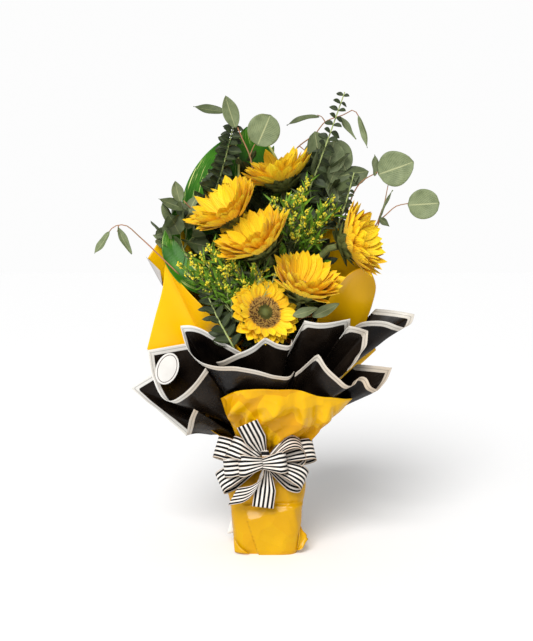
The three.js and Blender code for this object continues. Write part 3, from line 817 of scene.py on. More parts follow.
def ribbon_loop(angle, length, bulge, lift, roll, pinch, inset=KNOT_RADIUS * 0.5):
    """A strip that leaves the knot, swells to the front, turns and comes back behind."""
    out = Vector((math.cos(math.radians(angle)), 0, math.sin(math.radians(angle))))
    front = Matrix.Rotation(math.radians(roll), 3, out) @ FRONT
    across = front.cross(out)
    if across.z < 0:
        across = -across
    start = KNOT + Vector((0, lift, 0)) + out * inset

    def surface(u, v):
        t = mix(0.02, 0.98, v)
        swell = math.sin(math.pi * t)
        spread = mix(pinch, 1.0, min(1.0, swell * 1.4))
        ripple = 2.2 * (1 - pinch) * (1 - swell) * math.sin(u * math.tau * 2.5)
        ripple += 0.8 * math.sin(v * 13 + angle) * (u - 0.5)
        body = out * (length * swell ** 0.85) + front * (bulge * math.sin(math.tau * t) + ripple)
        return (start + body + across * ((u - 0.5) * RIBBON_WIDTH * spread)) * MM

    bm = bmesh.new()
    bent_grid(bm, 20, 60, surface)
    return bm


def ribbon_tail(points, across):
    """A strip along a curve from the knot."""
    path = smooth_curve(points, TAIL_STEPS + 1)
    side = Vector(across).normalized()

    def surface(u, v):
        width = RIBBON_WIDTH * mix(0.4, 1.0, min(1.0, v * 2.0))
        return (path[round(v * TAIL_STEPS)] + side * ((u - 0.5) * width)) * MM

    bm = bmesh.new()
    bent_grid(bm, 16, TAIL_STEPS, surface)
    return bm


def knot_band():
    """The band round the middle of the bow, gathered lengthwise."""

    def surface(u, v):
        angle = math.tau * u
        radius = 1 + 0.14 * math.cos(angle * 7) + 0.1 * math.sin(v * 20 + angle * 3)
        ring = Vector((0, -math.cos(angle) * 12 * radius, math.sin(angle) * 8 * radius))
        return (KNOT + Vector(((v - 0.5) * 11 + 3 - 0.3 * ring.z, -6, 11)) + ring) * MM

    bm = bmesh.new()
    bent_grid(bm, 60, 10, surface)
    bmesh.ops.remove_doubles(bm, verts=bm.verts, dist=1e-6)
    return bm


def bow(ribbon):
    strips = {name: ribbon_loop(**loop) for name, loop in LOOPS.items()}
    strips.update({name: ribbon_tail(**tail) for name, tail in TAILS.items()})
    for name, bm in strips.items():
        finish_piece(name, bm, [ribbon], node_of(name), "ribbon", thickness=RIBBON_THICK)
    finish_piece("bow_knot_band", knot_band(), [ribbon], "bow_knot", "ribbon", thickness=RIBBON_THICK)


# ---- the oval label ----
def label(paper, ring_ink):
    """A plain oval with a thin ring a little inside its edge, on the face of the film beside it."""
    low, high = (Vector(corner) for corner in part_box("label"))
    proud = Vector((3, -7, 4)) * MM
    place = facing((low + high) / 2 + proud, (0.35, 0.3, 0.9), (0.35, -0.9, 0.2))
    stretch = Matrix.Diagonal((LABEL_SIZE[0] * MM, LABEL_SIZE[1] * MM, 1, 1))
    bm = bmesh.new()
    bmesh.ops.create_circle(bm, cap_ends=True, segments=48, radius=0.5, matrix=place @ stretch)
    [face] = bm.faces
    bmesh.ops.inset_individual(bm, faces=[face], thickness=LABEL_MARGIN * MM, depth=0)
    ring = bmesh.ops.inset_individual(bm, faces=[face], thickness=LABEL_RING * MM, depth=0)["faces"]
    for part in ring:
        part.material_index = int(len(part.verts) == 4)
    looks = [paper, ring_ink]
    finish_piece("oval_label", bm, looks, "label", "label", thickness=LABEL_THICK, smooth=False)


# ---- blades: petals and leaves ----
def petal_outline(v):
    return (0.42 + 0.58 * smooth_step(0, 0.5, v)) * max(0.0, 1 - max(0.0, (v - 0.5) / 0.5) ** 2.6)


def round_outline(v):
    return math.sqrt(max(0.0, 1 - (2 * v - 1) ** 2))


def round_leaf_outline(v):
    return round_outline(v) * (1 - 0.16 * smooth_step(0.6, 1.0, v))


def oval_outline(v):
    return math.sin(math.pi * v**0.9) ** 0.75


def lance_outline(v):
    return math.sin(math.pi * min(1.0, v**0.8)) ** 1.1


def broad_outline(v):
    return math.sin(math.pi * v**0.85) ** 0.6


def blade_mesh(outline, length, width, bend, cup, twist=0, flute=0, wave=0, columns=4, rows=6, look=0):
    """A blade in millimetres that runs along +Y from the origin and faces +Z, bent and twisted in degrees."""
    bm = bmesh.new()
    curl = math.radians(bend) or 1e-3

    def place(u, v):
        across = 2 * u - 1
        half = max(0.02, outline(v)) * width / 2
        side = across * half
        lift = cup * half * across**2 + flute * math.cos(across * math.pi * 2.5) * outline(v)
        lift += wave * math.sin(v * 9 + across * 1.5) * abs(across)
        turn = math.radians(twist) * v
        aside = side * math.cos(turn) - lift * math.sin(turn)
        lift = side * math.sin(turn) + lift * math.cos(turn)
        angle = curl * v
        reach = length * math.sin(angle) / curl
        rise = length * (1 - math.cos(angle)) / curl
        return Vector((aside, reach - lift * math.sin(angle), rise + lift * math.cos(angle))) * MM

    bent_grid(bm, columns, rows, place)
    return small_mesh(bm, look)


def blade_variants(count, seed, outline, length, width, bend, twist=12, looks=(0,), **shape):
    """Blades of one kind, each a little different in its size, bend and twist."""
    chance = random.Random(seed)
    return [
        blade_mesh(
            outline,
            length * chance.uniform(0.9, 1.08),
            width * chance.uniform(0.88, 1.1),
            bend=bend + chance.uniform(-14, 14),
            twist=chance.uniform(-twist, twist),
            look=looks[k % len(looks)],
            **shape,
        )
        for k in range(count)
    ]


# ---- sunflowers ----
SUNFLOWERS = {  # middle, the way it faces, how far the petals open in degrees and their length
    "top": dict(at=(24, 0, 606), axis=(-0.27, -0.14, 0.95), open_to=58, petals=55),
    "left": dict(at=(-56, -45, 548), axis=(-0.5, -0.36, 0.79), open_to=57, petals=60),
    "middle": dict(at=(-8, -85, 502), axis=(-0.46, -0.4, 0.79), open_to=56, petals=57),
    "lower_right": dict(at=(55, -92, 434), axis=(0.3, -0.42, 0.86), open_to=54, petals=54),
    "right": dict(at=(129, -52, 507), axis=(0.9, -0.35, 0.28), open_to=54, petals=54),
    "front": dict(at=(-5, -101, 400), axis=(0.36, -0.87, 0.34), open_to=68, petals=29, disc=29, bend=-6),
}
PETAL_RINGS = [  # share of the petals' length, ring radius, petals in the ring, degrees wider than the flower
    (0.96, 20, 25, 9),
    (1.0, 18, 25, -1),
    (0.92, 16, 21, -12),
]


BRACT_RINGS = [  # ring's place along the axis, its radius, degrees open, bracts in it
    (-15, 10, 84, 11),
    (-10, 17, 62, 13),
    (-5, 21, 46, 15),
]
FLORET_KINDS = [  # radius at the foot and at the tip, height
    (1.1, 0.5, 2.4),
    (1.2, 0.4, 3.6),
    (0.9, 0.7, 4.4),
]


def splayed(axis, radial, degrees):
    """The way a blade takes that opens from the axis by so many degrees, and the way its inner face looks."""
    opening = math.radians(degrees)
    along = axis * math.cos(opening) + radial * math.sin(opening)
    return along, axis * math.sin(opening) - radial * math.cos(opening)


def sunflower(name, at, axis, open_to, petals, disc=DISC_RADIUS, bend=22):
    chance = random.Random(name)
    axis = Vector(axis).normalized()
    side = axis.orthogonal().normalized()
    other = axis.cross(side)
    at = Vector(at)
    width = PETAL_WIDTH * mix(1, petals / PETAL_LENGTH, 0.5)
    variants = blade_variants(
        18, "petal" + name, petal_outline, petals, width, bend, 16, looks=(0, 0, 1, 0, 2),
        cup=0.3, flute=0.9, columns=8, rows=9,
    )
    bm = bmesh.new()
    for share, radius, count, wider in PETAL_RINGS:
        ring_radius = radius + 4 * max(0, disc - DISC_RADIUS)
        for k in range(count):
            angle = math.tau * (k + 0.5 * (wider > 0)) / count + chance.uniform(-0.07, 0.07)
            radial = around(side, other, angle)
            along, inward = splayed(axis, radial, open_to + wider + chance.gauss(0, 4))
            along = along + axis.cross(radial) * chance.uniform(-0.12, 0.12)
            foot = (at + radial * ring_radius + axis * (2 - wider * 0.2)) * MM
            size = share * chance.uniform(0.86, 1.05)
            petal = chance.choice(variants)
            stamp(bm, petal, facing(foot, along, inward + stray(chance, 0.12), size))
    finish_piece("petals_" + name, bm, PETALS, "sunflower_" + name, "petals", keep_normals=True)
    remove_meshes(variants)
    sunflower_disc(name, at, axis, side, other, disc, chance)
    sunflower_back(name, at, axis, side, other, 2.4 * max(0, open_to - 58), chance)


def sunflower_disc(name, at, axis, side, other, disc, chance):
    """Florets in a spiral: green and shut in the middle, brown with yellow tips outside."""
    seeds = []
    for look, (foot, tip, tall) in enumerate(FLORET_KINDS):
        cone = bmesh.new()
        size = dict(radius1=foot * MM, radius2=tip * MM, depth=tall * MM)
        bmesh.ops.create_cone(cone, cap_ends=True, segments=5, **size)
        seeds.append(small_mesh(cone, look))
    bm = bmesh.new()
    for k in range(FLORETS):
        share = math.sqrt((k + 0.5) / FLORETS)
        radial = around(side, other, k * GOLDEN_ANGLE)
        height = 7.5 + 3.5 * math.cos(share * 2.6) - 3.2 * math.exp(-((share / 0.3) ** 2))
        foot = (at + radial * (share * disc) + axis * height) * MM
        lean = (axis + radial * (0.7 * share) + stray(chance, 0.12)).normalized()
        inner = share < 0.40 + chance.uniform(-0.03, 0.03)
        seed = seeds[0] if inner else seeds[1 if chance.random() < 0.45 else 2]
        stamp(bm, seed, standing(foot, lean))
    core = dict(radius1=disc * 0.9 * MM, radius2=disc * 0.96 * MM, depth=6 * MM)
    bmesh.ops.create_cone(bm, cap_ends=True, segments=32, matrix=standing((at + axis) * MM, axis), **core)
    finish_piece("disc_" + name, bm, [DISC_GREEN, DISC_BROWN, DISC_POLLEN], slot="petals", keep_normals=True)
    remove_meshes(seeds)


def sunflower_back(name, at, axis, side, other, spread, chance):
    """The green back of the head with its rows of pointed bracts, spread wider under a wide-open flower."""
    bm = bmesh.new()
    flat_ball = standing((at - axis * 4) * MM, axis) @ Matrix.Diagonal((1, 1, 0.62, 1))
    bmesh.ops.create_uvsphere(bm, u_segments=24, v_segments=12, radius=21 * MM, matrix=flat_ball)
    bm.loops.layers.uv.new("UVMap")
    bracts = blade_variants(8, "bract" + name, lance_outline, 30, 19, bend=26, cup=0.35)
    for ring, radius, opening, count in BRACT_RINGS:
        for k in range(count):
            angle = math.tau * (k + 0.4 * ring) / count + chance.uniform(-0.1, 0.1)
            radial = around(side, other, angle)
            along, inward = splayed(axis, radial, opening + spread + chance.uniform(-12, 12))
            foot = (at + radial * radius + axis * ring) * MM
            stamp(bm, chance.choice(bracts), facing(foot, along, inward, chance.uniform(0.8, 1.1)))
    finish_piece("bracts_" + name, bm, [BRACT], slot="stems", keep_normals=True)
    remove_meshes(bracts)


def flower_stems():
    bm = bmesh.new()
    for flower in SUNFLOWERS.values():
        axis = Vector(flower["axis"]).normalized()
        back = Vector(flower["at"]) - axis * 15
        start = Vector((back.x * 0.35, back.y * 0.2, min(STEM_ROOT_Z, back.z - 40)))
        tube(bm, [start, back - axis * 22, back], (6.5, 5.5), 14)
    finish_piece("flower_stems", bm, [STEM], ["stem_" + name for name in SUNFLOWERS], "stems")
    bm = bmesh.new()
    for k in range(GATHERED_STEMS):
        angle = k * GOLDEN_ANGLE
        reach = math.sqrt((k + 0.5) / GATHERED_STEMS)
        x, y = reach * math.cos(angle), reach * math.sin(angle)
        low = Vector((22 * x, 20 * y, NECK_Z + 2))
        high = Vector((34 * x, 30 * y - 6, 345))
        tube(bm, [low, low.lerp(high, 0.5), high], (3.6, 3.2), 8)
    finish_piece("gathered_stems", bm, [STEM], "stem_bundle", "stems")


# ---- leaves kept clear of the blooms and of the sheet behind ----
def in_the_open(point):
    """Whether a point in millimetres is clear of the blooms' bowls of petals and the yellow sheet behind."""
    for flower in SUNFLOWERS.values():
        off = point - Vector(flower["at"])
        rise = off.dot(Vector(flower["axis"]).normalized())
        if off.length < PETAL_LENGTH + 4 and rise > 0.25 * off.length:
            return False
    half_width, half_depth = (
        half + flare * (point.z - BACK_SHEET_Z) for half, flare in zip(BACK_SHEET_HALF, BACK_SHEET_FLARE)
    )
    rim_z, rim_drop = BACK_SHEET_RIM
    over_rim = point.z > rim_z - rim_drop * point.x**2
    return point.y < 0 or over_rim or (point.x / half_width) ** 2 + (point.y / half_depth) ** 2 < 0.86


def blade_is_clear(foot, along, length):
    reach = Vector(along).normalized() * length
    return all(in_the_open(foot + reach * share) for share in (0, 0.5, 1))


# ---- eucalyptus sprigs with a few broad round leaves ----
# Each stem: its points and its radius at the foot. Each leaf: kind, middle, length, width, the way it runs
# and the way it faces.
SPRIGS = {
    "eucalyptus_top_left": dict(
        stems=[
            ([(-20, 0, 615), (-27, -10, 648), (-38, -10, 673), (-47, -12, 694)], 1.5),
            ([(-27, -10, 648), (-20, -13, 664), (-12, -15, 676)], 1.1),
        ],
        leaves=[
            ("oval", (-59, -14, 717), 54, 27, (-0.35, 0, 0.94), (0.2, -1, 0.1)),
            ("oval_shaded", (-92, -15, 719), 52, 21, (-1, 0, 0.05), (0, -0.8, 0.6)),
            ("round", (-4, -16, 688), 53, 53, (0.4, 0, 0.9), (0, -1, 0.1)),
        ],
    ),
    "eucalyptus_left": dict(
        stems=[([(-96, -6, 530), (-112, -12, 552), (-134, -17, 576)], 1.4)],
        leaves=[
            ("oval", (-144, -18, 590), 36, 20, (-0.25, 0, 0.97), (0.2, -1, 0)),
            ("oval_shaded", (-151, -22, 568), 50, 24, (-0.95, 0, 0.25), (0, -0.8, 0.6)),
        ],
    ),
    "eucalyptus_far_left": dict(
        stems=[
            ([(-140, -44, 458), (-170, -42, 487), (-202, -40, 517), (-225, -42, 536), (-243, -42, 534),
              (-252, -43, 524)], 1.3),
            ([(-236, -42, 536), (-236, -43, 530), (-238, -44, 526)], 1.0),
        ],
        leaves=[
            ("oval", (-260, -44, 507), 42, 15, (-0.45, 0, -0.9), (-0.6, -0.8, 0)),
            ("oval", (-228, -44, 510), 50, 14, (0.35, 0, -0.93), (0.6, -0.8, 0.2)),
        ],
    ),
    "eucalyptus_top_right": dict(
        stems=[
            ([(10, 48, 612), (34, 36, 646), (54, 24, 667), (80, 16, 686), (96, 14, 705), (126, 10, 716),
              (142, 6, 723), (150, 4, 712)], 1.3),
            ([(96, 14, 705), (90, 13, 713), (83, 12, 716)], 1.0),
            ([(80, 16, 686), (92, 14, 678), (98, 12, 672)], 1.0),
            ([(54, 24, 667), (62, 18, 660), (70, 12, 652)], 1.0),
        ],
        leaves=[
            ("narrow_shaded", (58, 11, 712), 56, 14, (-1, 0, -0.02), (0, -0.7, 0.7)),
            ("narrow", (161, 3, 688), 56, 13, (0.42, 0, -0.9), (-0.7, -0.7, 0)),
            ("narrow", (130, 8, 692), 48, 13, (0.42, 0, -0.9), (0.5, -0.8, 0.2)),
            ("round", (84, 12, 634), 56, 56, (0.5, 0, -0.86), (0, -1, 0.15)),
            ("round", (120, 12, 650), 54, 42, (0.3, 0, -0.95), (0.35, -1, 0)),
            ("round", (115, 9, 598), 50, 42, (0.1, 0, -1), (0.3, -1, 0)),
        ],
    ),
    "eucalyptus_right": dict(
        stems=[
            ([(112, -8, 530), (128, -10, 553), (142, -12, 590), (154, -14, 607), (180, -18, 622)], 1.4),
            ([(180, -22, 536), (189, -20, 566), (196, -20, 602)], 1.2),
        ],
        leaves=[
            ("heart", (208, -20, 627), 60, 58, (0.9, 0, 0.3), (0, -1, 0.12)),
            ("oval", (171, -19, 632), 34, 20, (-0.2, 0, 1), (0.8, -0.6, 0)),
        ],
    ),
    "eucalyptus_far_right": dict(
        stems=[
            ([(150, 6, 500), (168, -16, 521), (178, -30, 540), (192, -40, 554), (206, -42, 566),
              (228, -44, 571)], 1.3),
            ([(178, -30, 540), (181, -38, 552), (184, -41, 562)], 1.1),
        ],
        leaves=[
            ("round", (249, -46, 569), 50, 48, (1, 0, 0.05), (0, -1, 0.1)),
            ("narrow", (185, -41, 572), 48, 11, (0.18, 0, 0.98), (0.9, -0.4, 0)),
            ("oval_shaded", (187, -44, 541), 22, 11, (0.6, 0, -0.5), (0, -1, 0)),
        ],
    ),
    "low_leaves": dict(
        stems=[([(40, -80, 380), (56, -92, 392), (74, -98, 396)], 1.2)],
        leaves=[
            ("oval", (92, -102, 404), 48, 17, (0.92, 0, 0.4), (-0.2, -1, 0.3)),
            ("oval", (60, -104, 401), 42, 16, (0.95, 0, 0.22), (0, -1, 0.5)),
        ],
    ),
}
LEAF_KINDS = {  # outline, cup, bend, look; look 1 is the shaded leaf, painted shade on the leaves that lie in shade
    "round": (round_outline, 0.12, 12, 0),
    "heart": (broad_outline, 0.14, 16, 0),
    "oval": (oval_outline, 0.3, 24, 0),
    "oval_shaded": (lance_outline, 0.25, 18, 1),
    "narrow": (lance_outline, 0.5, 30, 0),
    "narrow_shaded": (lance_outline, 0.4, -34, 1),
}


def sprigs():
    for name, sizes in SPRIGS.items():
        bm = bmesh.new()
        for points, radius in sizes["stems"]:
            tube(bm, points, (radius, radius * 0.6))
        finish_piece(name + "_stem", bm, [RED_STEM], slot="stems")
        bm = bmesh.new()
        for kind, middle, length, width, along, face in sizes["leaves"]:
            outline, cup, bend, look = LEAF_KINDS[kind]
            mesh = blade_mesh(outline, length, width, bend, cup, wave=1.2, columns=12, rows=16, look=look)
            foot = (Vector(middle) - Vector(along).normalized() * length * 0.5) * MM
            stamp(bm, mesh, facing(foot, along, face))
            bpy.data.meshes.remove(mesh)
        looks = [GREY_LEAF, SHADED_LEAF]
        finish_piece(name, bm, looks, node_of(name), "eucalyptus", thickness=LEAF_THICK, keep_normals=True)


# ---- spikes of small leaves in pairs round a pale stem ----
SPIKES = {  # points of the stem, leaf length and width, share of that left at the tip, pairs, degrees raised
    "spike_right": dict(
        points=[(54, -20, 553), (92, -20, 655), (125, -20, 748)], leaf=(33, 24), tip=0.34, whorls=17, tilt=-4,
    ),
    "spike_right_small": dict(
        points=[(112, -30, 529), (128, -30, 575), (140, -30, 620)], leaf=(20, 14), tip=0.45,
        whorls=11, tilt=4,
    ),
    "spike_left": dict(
        points=[(-98, -2, 552), (-72, -4, 626), (-54, -5, 694)], leaf=(31, 23), tip=0.62, whorls=25, tilt=2,
    ),
    "dark_leaf_left": dict(
        points=[(-50, -104, 346), (-78, -92, 396), (-100, -76, 446)], leaf=(32, 14), tip=0.6,
        whorls=14, tilt=30,
    ),
}


def leafy_spike(name, points, leaf, tip, whorls, tilt):
    chance = random.Random(name)
    path = smooth_curve(points, whorls * 2 + 1)
    bm = bmesh.new()
    tube(bm, points, (1.7, 0.9))
    finish_piece(name + "_stem", bm, [PALE_STEM], slot="stems")
    leaves = blade_variants(10, name, oval_outline, *leaf, bend=10, cup=0.5)
    bm = bmesh.new()
    for k in range(whorls):
        i = round((len(path) - 1) * (k + 0.5) / whorls)
        ahead = heading(path, i)
        side = ahead.cross(FRONT).normalized()
        size = mix(1.0, tip, (k / whorls) ** 0.9)
        for turn in (-20, 160):
            angle = math.radians(turn + 55 * (k % 2) + chance.uniform(-16, 16))
            radial = around(side, ahead.cross(side), angle)
            along = radial + ahead * math.tan(math.radians(tilt + chance.uniform(-12, 12)))
            face = ahead + FRONT * 1.5 - radial * 0.1
            blade = chance.choice(leaves)
            stamp(bm, blade, facing(path[i] * MM, along, face, size * chance.uniform(0.8, 1.1)))
    finish_piece(name, bm, [DARK_LEAF], name, "eucalyptus", keep_normals=True)
    remove_meshes(leaves)


# ---- broad streaked leaves ----
BROAD_LEAVES = {
    "broad_leaf_tall": dict(
        midrib=[(-12, 46, 500), (-18, 44, 610), (-32, 40, 700)], width=100, face=(0, -1, 0.15),
    ),
    "broad_leaf_left": dict(
        midrib=[(-66, 34, 450), (-92, 30, 570), (-58, 26, 680)], width=100, face=(-0.15, -1, 0.1),
    ),
    "broad_leaf_low": dict(
        midrib=[(-70, -46, 427), (-124, -44, 452), (-152, -28, 500), (-144, -12, 566)], width=38,
        face=(0.3, -1, 0.3),
    ),
}


def broad_leaf(name, midrib, width, face):
    """A long leaf that follows its midrib, with its sides raised a little and its edges waved."""
    path = smooth_curve(midrib, BROAD_LEAF_STEPS + 1)

    def surface(u, v):
        k = round(v * BROAD_LEAF_STEPS)
        ahead = heading(path, k)
        side = ahead.cross(Vector(face)).normalized()
        across = 2 * u - 1
        half = max(1.0, width / 2 * broad_outline(v))
        fold = 0.1 * half * across**2 + 2.0 * math.sin(v * 11 + across * 2) * abs(across)
        return (path[k] + side * across * half + side.cross(ahead) * fold) * MM

    bm = bmesh.new()
    bent_grid(bm, 24, BROAD_LEAF_STEPS, surface)
    finish_piece(name, bm, [BROAD_LEAF], name, "broad_leaves", thickness=BROAD_LEAF_THICK)


# ---- goldenrod ----
GOLDENROD = {  # where each spray's stalks leave the bunch, and their tips
    "goldenrod_right": dict(
        root=(40, -30, 470),
        heads=[(64, -42, 607), (57, -46, 588), (43, -46, 583), (14, -42, 571), (98, -50, 572), (93, -52, 546),
               (61, -56, 549), (44, -56, 546), (84, -52, 549), (81, -52, 515), (30, -44, 566),
               (110, -46, 560), (70, -50, 528), (50, -54, 520)],
    ),
    "goldenrod_left": dict(
        root=(-45, -80, 390),
        heads=[(-86, -82, 500), (-71, -84, 493), (-98, -80, 481), (-133, -78, 471), (-107, -80, 466),
               (-66, -90, 470), (-118, -76, 484), (-80, -86, 455), (-60, -92, 440), (-92, -86, 440)],
    ),
    "goldenrod_front": dict(
        root=(-20, -80, 400),
        heads=[(-6, -97, 465), (-19, -98, 465), (-37, -97, 452), (4, -98, 442), (-50, -95, 470),
               (-30, -102, 440), (-46, -98, 425), (14, -96, 462), (-12, -100, 450)],
    ),
}


BUD_KINDS = [(2.1, 0), (1.7, 0), (1.8, 1), (1.5, 1)]  # radius, look
NARROW_LEAF = (32, 4.6)


def bud_meshes():
    buds = []
    for size, look in BUD_KINDS:
        ball = bmesh.new()
        longer = Matrix.Diagonal((0.8, 0.8, 1.25, 1))
        bmesh.ops.create_icosphere(ball, subdivisions=1, radius=size * MM, matrix=longer)
        buds.append(small_mesh(ball, look))
    return buds


def goldenrod_stalk(chance, root, head, buds, narrow, stalks, flowers, leaves):
    """One stalk, its seven twigs with nine buds each near the tip, and narrow leaves all the way up."""
    knee = root.lerp(head, 0.6) + stray(chance, 6)
    tube(stalks, [root + stray(chance, 12), knee, head], (1.1, 0.5), 5)
    rise = (head - knee).normalized()
    for k in range(7):
        base = knee.lerp(head, 0.4 + 0.6 * k / 6)
        out = (rise + stray(chance, 0.9)).normalized()
        tip = base + out * chance.uniform(7, 15)
        tube(stalks, [base, base.lerp(tip, 0.5), tip], (0.5, 0.35), 4)
        for _ in range(9):
            spot = base.lerp(tip, chance.uniform(0.35, 1.1)) + stray(chance, 2.8)
            place = standing(spot * MM, out + stray(chance, 0.6))
            bud = chance.choice(buds)
            if in_the_open(spot):
                stamp(flowers, bud, place)
    for _ in range(30):
        spot = (root + stray(chance, 8)).lerp(head, chance.uniform(0.35, 0.98))
        along = rise + stray(chance, 0.9)
        size = chance.uniform(0.55, 1.05)
        blade = chance.choice(narrow)
        face = stray(chance, 1) + FRONT
        if blade_is_clear(spot, along, NARROW_LEAF[0] * size):
            stamp(leaves, blade, facing(spot * MM, along, face, size))


def goldenrod():
    buds = bud_meshes()
    narrow = blade_variants(
        10, "narrow", lance_outline, *NARROW_LEAF, bend=24, looks=(0, 0, 1), cup=0.4, columns=2,
    )
    for name, spray in GOLDENROD.items():
        chance = random.Random(name)
        stalks = bmesh.new()
        flowers = bmesh.new()
        leaves = bmesh.new()
        for head in spray["heads"]:
            root = Vector(spray["root"])
            goldenrod_stalk(chance, root, Vector(head), buds, narrow, stalks, flowers, leaves)
        leaf_looks = [BRIGHT_LEAF, SHADED_LEAF]
        bud_looks = [BUD_YELLOW, BUD_LIME]
        finish_piece(name + "_stalks", stalks, [PALE_STEM], slot="stems")
        finish_piece(name + "_leaves", leaves, leaf_looks, slot="goldenrod", keep_normals=True)
        finish_piece(name, flowers, bud_looks, name, "goldenrod", keep_normals=True)
    remove_meshes(buds + narrow)


# ---- masses of leaves ----
MASSES = {  # leaves, leaf length and width, the share of the mass's radii that their feet reach, and looks
    "eucalyptus_mass_left": dict(count=34, leaf=(36, 29), reach=0.76, looks=(1, 0, 1)),
    "eucalyptus_mass_right": dict(count=34, leaf=(48, 44), reach=0.8, looks=(1, 0, 1)),
    "greenery_back": dict(count=520, leaf=(34, 17), reach=0.98, looks=(2, 1, 3)),
    "greenery_core": dict(count=900, leaf=(34, 15), reach=1.0, looks=(2, 3, 1, 2)),
}


def leafy_mass(name, count, leaf, reach, looks):
    """Twigs that fan out from the foot of the mass, with leaves facing out all over it and inside it."""
    chance = random.Random(name)
    low, high = (Vector(corner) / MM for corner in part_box(name))
    middle = (low + high) / 2
    radii = (high - low) / 2
    root = middle - Vector((0, 0, radii.z * 0.8))
    length, width = leaf
    outline = round_leaf_outline if width > 25 else oval_outline
    leaves = blade_variants(12, name, outline, length, width, 16, looks=looks, cup=0.3, columns=6, rows=8)
    bm = bmesh.new()
    twigs = bmesh.new()
    for k in range(count):
        height = 1 - 2 * (k + 0.5) / count
        ring = math.sqrt(1 - height * height)
        way = Vector((ring * math.cos(k * GOLDEN_ANGLE), ring * math.sin(k * GOLDEN_ANGLE), height))
        depth = reach * chance.uniform(0.62, 0.97)
        spot = middle + way * radii * depth
        along = way * 0.5 + UP * 0.5 + stray(chance, 0.7)
        size = chance.uniform(0.7, 1.15)
        blade = chance.choice(leaves)
        face = way + stray(chance, 0.5)
        if blade_is_clear(spot, along, length * size):
            stamp(bm, blade, facing(spot * MM, along, face, size))
        if k % 9 == 0:
            tube(twigs, [root, root.lerp(spot, 0.5) + stray(chance, 5), spot], (1.4, 0.7), 5)
    finish_piece(name + "_twigs", twigs, [STEM], slot="stems")
    leaf_looks = [GREY_LEAF, SHADED_LEAF, DARK_LEAF, BRIGHT_LEAF]
    finish_piece(name, bm, leaf_looks, name, "dark_leaves", keep_normals=True)
    remove_meshes(leaves)


# ---- scene ----
def add_light(name, kind, energy, at, way):
    light = bpy.data.lights.new(name, kind)
    light.energy = energy
    lamp = bpy.data.objects.new(name, light)
    lamp.location = at
    lamp.rotation_euler = way.to_track_quat("-Z", "Y").to_euler()
    SCENE.collection.objects.link(lamp)
    return light


def studio():
    """A pale floor and backdrop, soft light from above the camera and a weak light from the left."""
    bm = bmesh.new()
    bmesh.ops.create_grid(bm, x_segments=1, y_segments=1, size=12)
    floor_look, _ = new_material("studio_floor", (1.0, 1.0, 1.0), 0.9)
    mesh = bpy.data.meshes.new("studio_floor")
    bm.to_mesh(mesh)
    bm.free()
    mesh.materials.append(floor_look)
    floor = bpy.data.objects.new("studio_floor", mesh)
    SCENE.collection.objects.link(floor)
    world = bpy.data.worlds.new("studio")
    world.use_nodes = True
    backdrop = world.node_tree.nodes["Background"]
    backdrop.inputs["Color"].default_value = (1, 1, 1, 1)
    seen = add_node(world, "ShaderNodeLightPath").outputs["Is Camera Ray"]
    feed(world, backdrop.inputs["Strength"], remap(world, seen, 0.0, 1.0, BACKDROP_LIGHT, BACKDROP_SEEN))
    SCENE.world = world
    add_light("overhead", "SUN", 3.0, (0, 0, 0), SUN_WAY).angle = math.radians(30)
    add_light("fill", "AREA", 7, FILL_AT, FILL_TARGET - FILL_AT).size = 1.2
    SCENE.view_settings.view_transform = "Standard"


def camera():
    """Stands a little above the middle of the bouquet and looks slightly down, square on to its front."""
    lens = bpy.data.cameras.new("camera")
    lens.lens = CAMERA_LENS
    eye = bpy.data.objects.new("camera", lens)
    pitch = math.radians(CAMERA_PITCH)
    eye.location = CAMERA_TARGET + Vector((0, -math.cos(pitch), math.sin(pitch))) * CAMERA_DISTANCE
    eye.rotation_euler = (CAMERA_TARGET - eye.location).to_track_quat("-Z", "Y").to_euler()
    SCENE.collection.objects.link(eye)
    SCENE.camera = eye


# One yellow film in three copies: the foot's and the collar's are painted darker than the smooth sheets' as
# painted shade, and carry painted crease shade in patches.
FOOT_FILM = yellow_film("yellow_film_foot", 0.6, 0.2, 0.7)
COLLAR_FILM = yellow_film("yellow_film_collar", 1.0, 0.5, 0.88)
SMOOTH_FILM = yellow_film("yellow_film", 0.08, 0.0, 0.98)
BLACK_FILM = black_film()
RIBBON = striped_ribbon()
PETALS = [
    petal_look("petal_yellow", (1.0, 0.68, 0.008), (1.0, 0.62, 0.006), (0.95, 0.45, 0.003)),
    petal_look("petal_gold", (1.0, 0.62, 0.006), (0.99, 0.57, 0.004), (0.93, 0.42, 0.002)),
    petal_look("petal_lemon", (1.0, 0.76, 0.015), (1.0, 0.68, 0.008), (0.96, 0.52, 0.004)),
]
DISC_GREEN = grained("disc_green", (0.16, 0.15, 0.03), (0.06, 0.07, 0.012), 0.7)
DISC_BROWN = grained("disc_brown", (0.24, 0.12, 0.04), (0.10, 0.045, 0.02), 0.75)
DISC_POLLEN = grained("disc_pollen", (0.62, 0.40, 0.10), (0.40, 0.22, 0.05), 0.8)
BRACT = leaf_look("bract", (0.15, 0.17, 0.04), (0.06, 0.075, 0.018), (0.22, 0.24, 0.08), 0.6)
STEM = grained("stem", (0.20, 0.23, 0.07), (0.10, 0.12, 0.035), 0.6)
PALE_STEM = grained("pale_stem", (0.42, 0.48, 0.18), (0.28, 0.34, 0.11), 0.55)
RED_STEM = grained("red_stem", (0.42, 0.17, 0.09), (0.27, 0.16, 0.07), 0.5, 60.0)
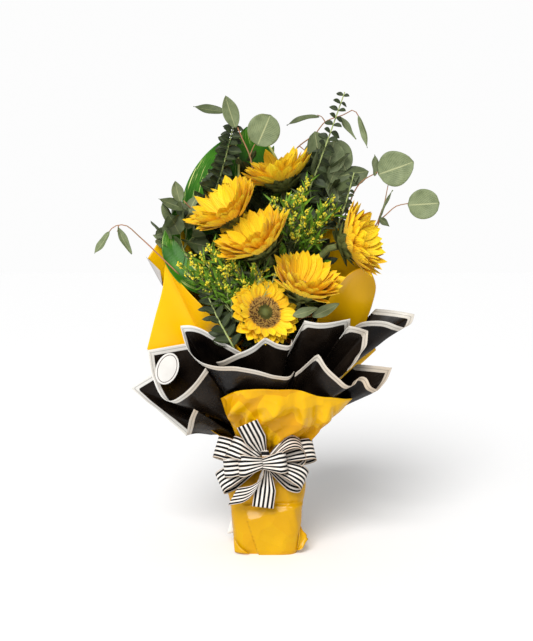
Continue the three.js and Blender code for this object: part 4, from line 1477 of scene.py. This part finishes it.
GREY_LEAF = leaf_look("grey_leaf", (0.20, 0.24, 0.115), (0.125, 0.16, 0.07), (0.36, 0.38, 0.19), 0.55)
SHADED_LEAF = leaf_look("shaded_leaf", (0.10, 0.125, 0.05), (0.05, 0.07, 0.025), (0.2, 0.22, 0.09), 0.5)
DARK_LEAF = leaf_look("dark_leaf", (0.04, 0.058, 0.02), (0.018, 0.027, 0.009), (0.09, 0.115, 0.035), 0.5)
BRIGHT_LEAF = leaf_look("bright_leaf", (0.18, 0.36, 0.02), (0.09, 0.22, 0.012), (0.28, 0.44, 0.06), 0.5)
BROAD_LEAF = broad_leaf_look()
BUD_YELLOW = grained("bud_yellow", (0.90, 0.72, 0.04), (0.72, 0.56, 0.03), 0.7)
BUD_LIME = grained("bud_lime", (0.55, 0.60, 0.06), (0.36, 0.44, 0.04), 0.7)
PALE_PAPER = grained("pale_paper", (0.82, 0.80, 0.76), (0.74, 0.72, 0.68), 0.5, 40.0)
SHADED_PAPER = grained("shaded_paper", (0.50, 0.48, 0.46), (0.40, 0.38, 0.36), 0.6, 40.0)
RING_INK = grained("ring_ink", (0.10, 0.06, 0.05), (0.07, 0.05, 0.045), 0.6, 60.0)

studio()
camera()
wrapped_foot(FOOT_FILM)
foot_corners(FOOT_FILM, PALE_PAPER)
for title, sizes in COLLARS.items():
    wrapping_sheet(title, COLLAR_FILM, "paper_yellow", crumple=7.0, gather=3.0, **sizes)
for title, sizes in BLACK_SHEETS.items():
    wrapping_sheet(title, BLACK_FILM, "paper_black", crumple=3.5, wave=4.0, **sizes)
for title, sizes in YELLOW_SHEETS.items():
    wrapping_sheet(title, SMOOTH_FILM, "paper_yellow", crumple=0.8, **sizes)
turned_corner(SHADED_PAPER)
bow(RIBBON)
label(PALE_PAPER, RING_INK)
for title, sizes in SUNFLOWERS.items():
    sunflower(title, **sizes)
flower_stems()
sprigs()
for title, sizes in SPIKES.items():
    leafy_spike(title, **sizes)
for title, sizes in BROAD_LEAVES.items():
    broad_leaf(title, **sizes)
goldenrod()
for title, sizes in MASSES.items():
    leafy_mass(title, **sizes)
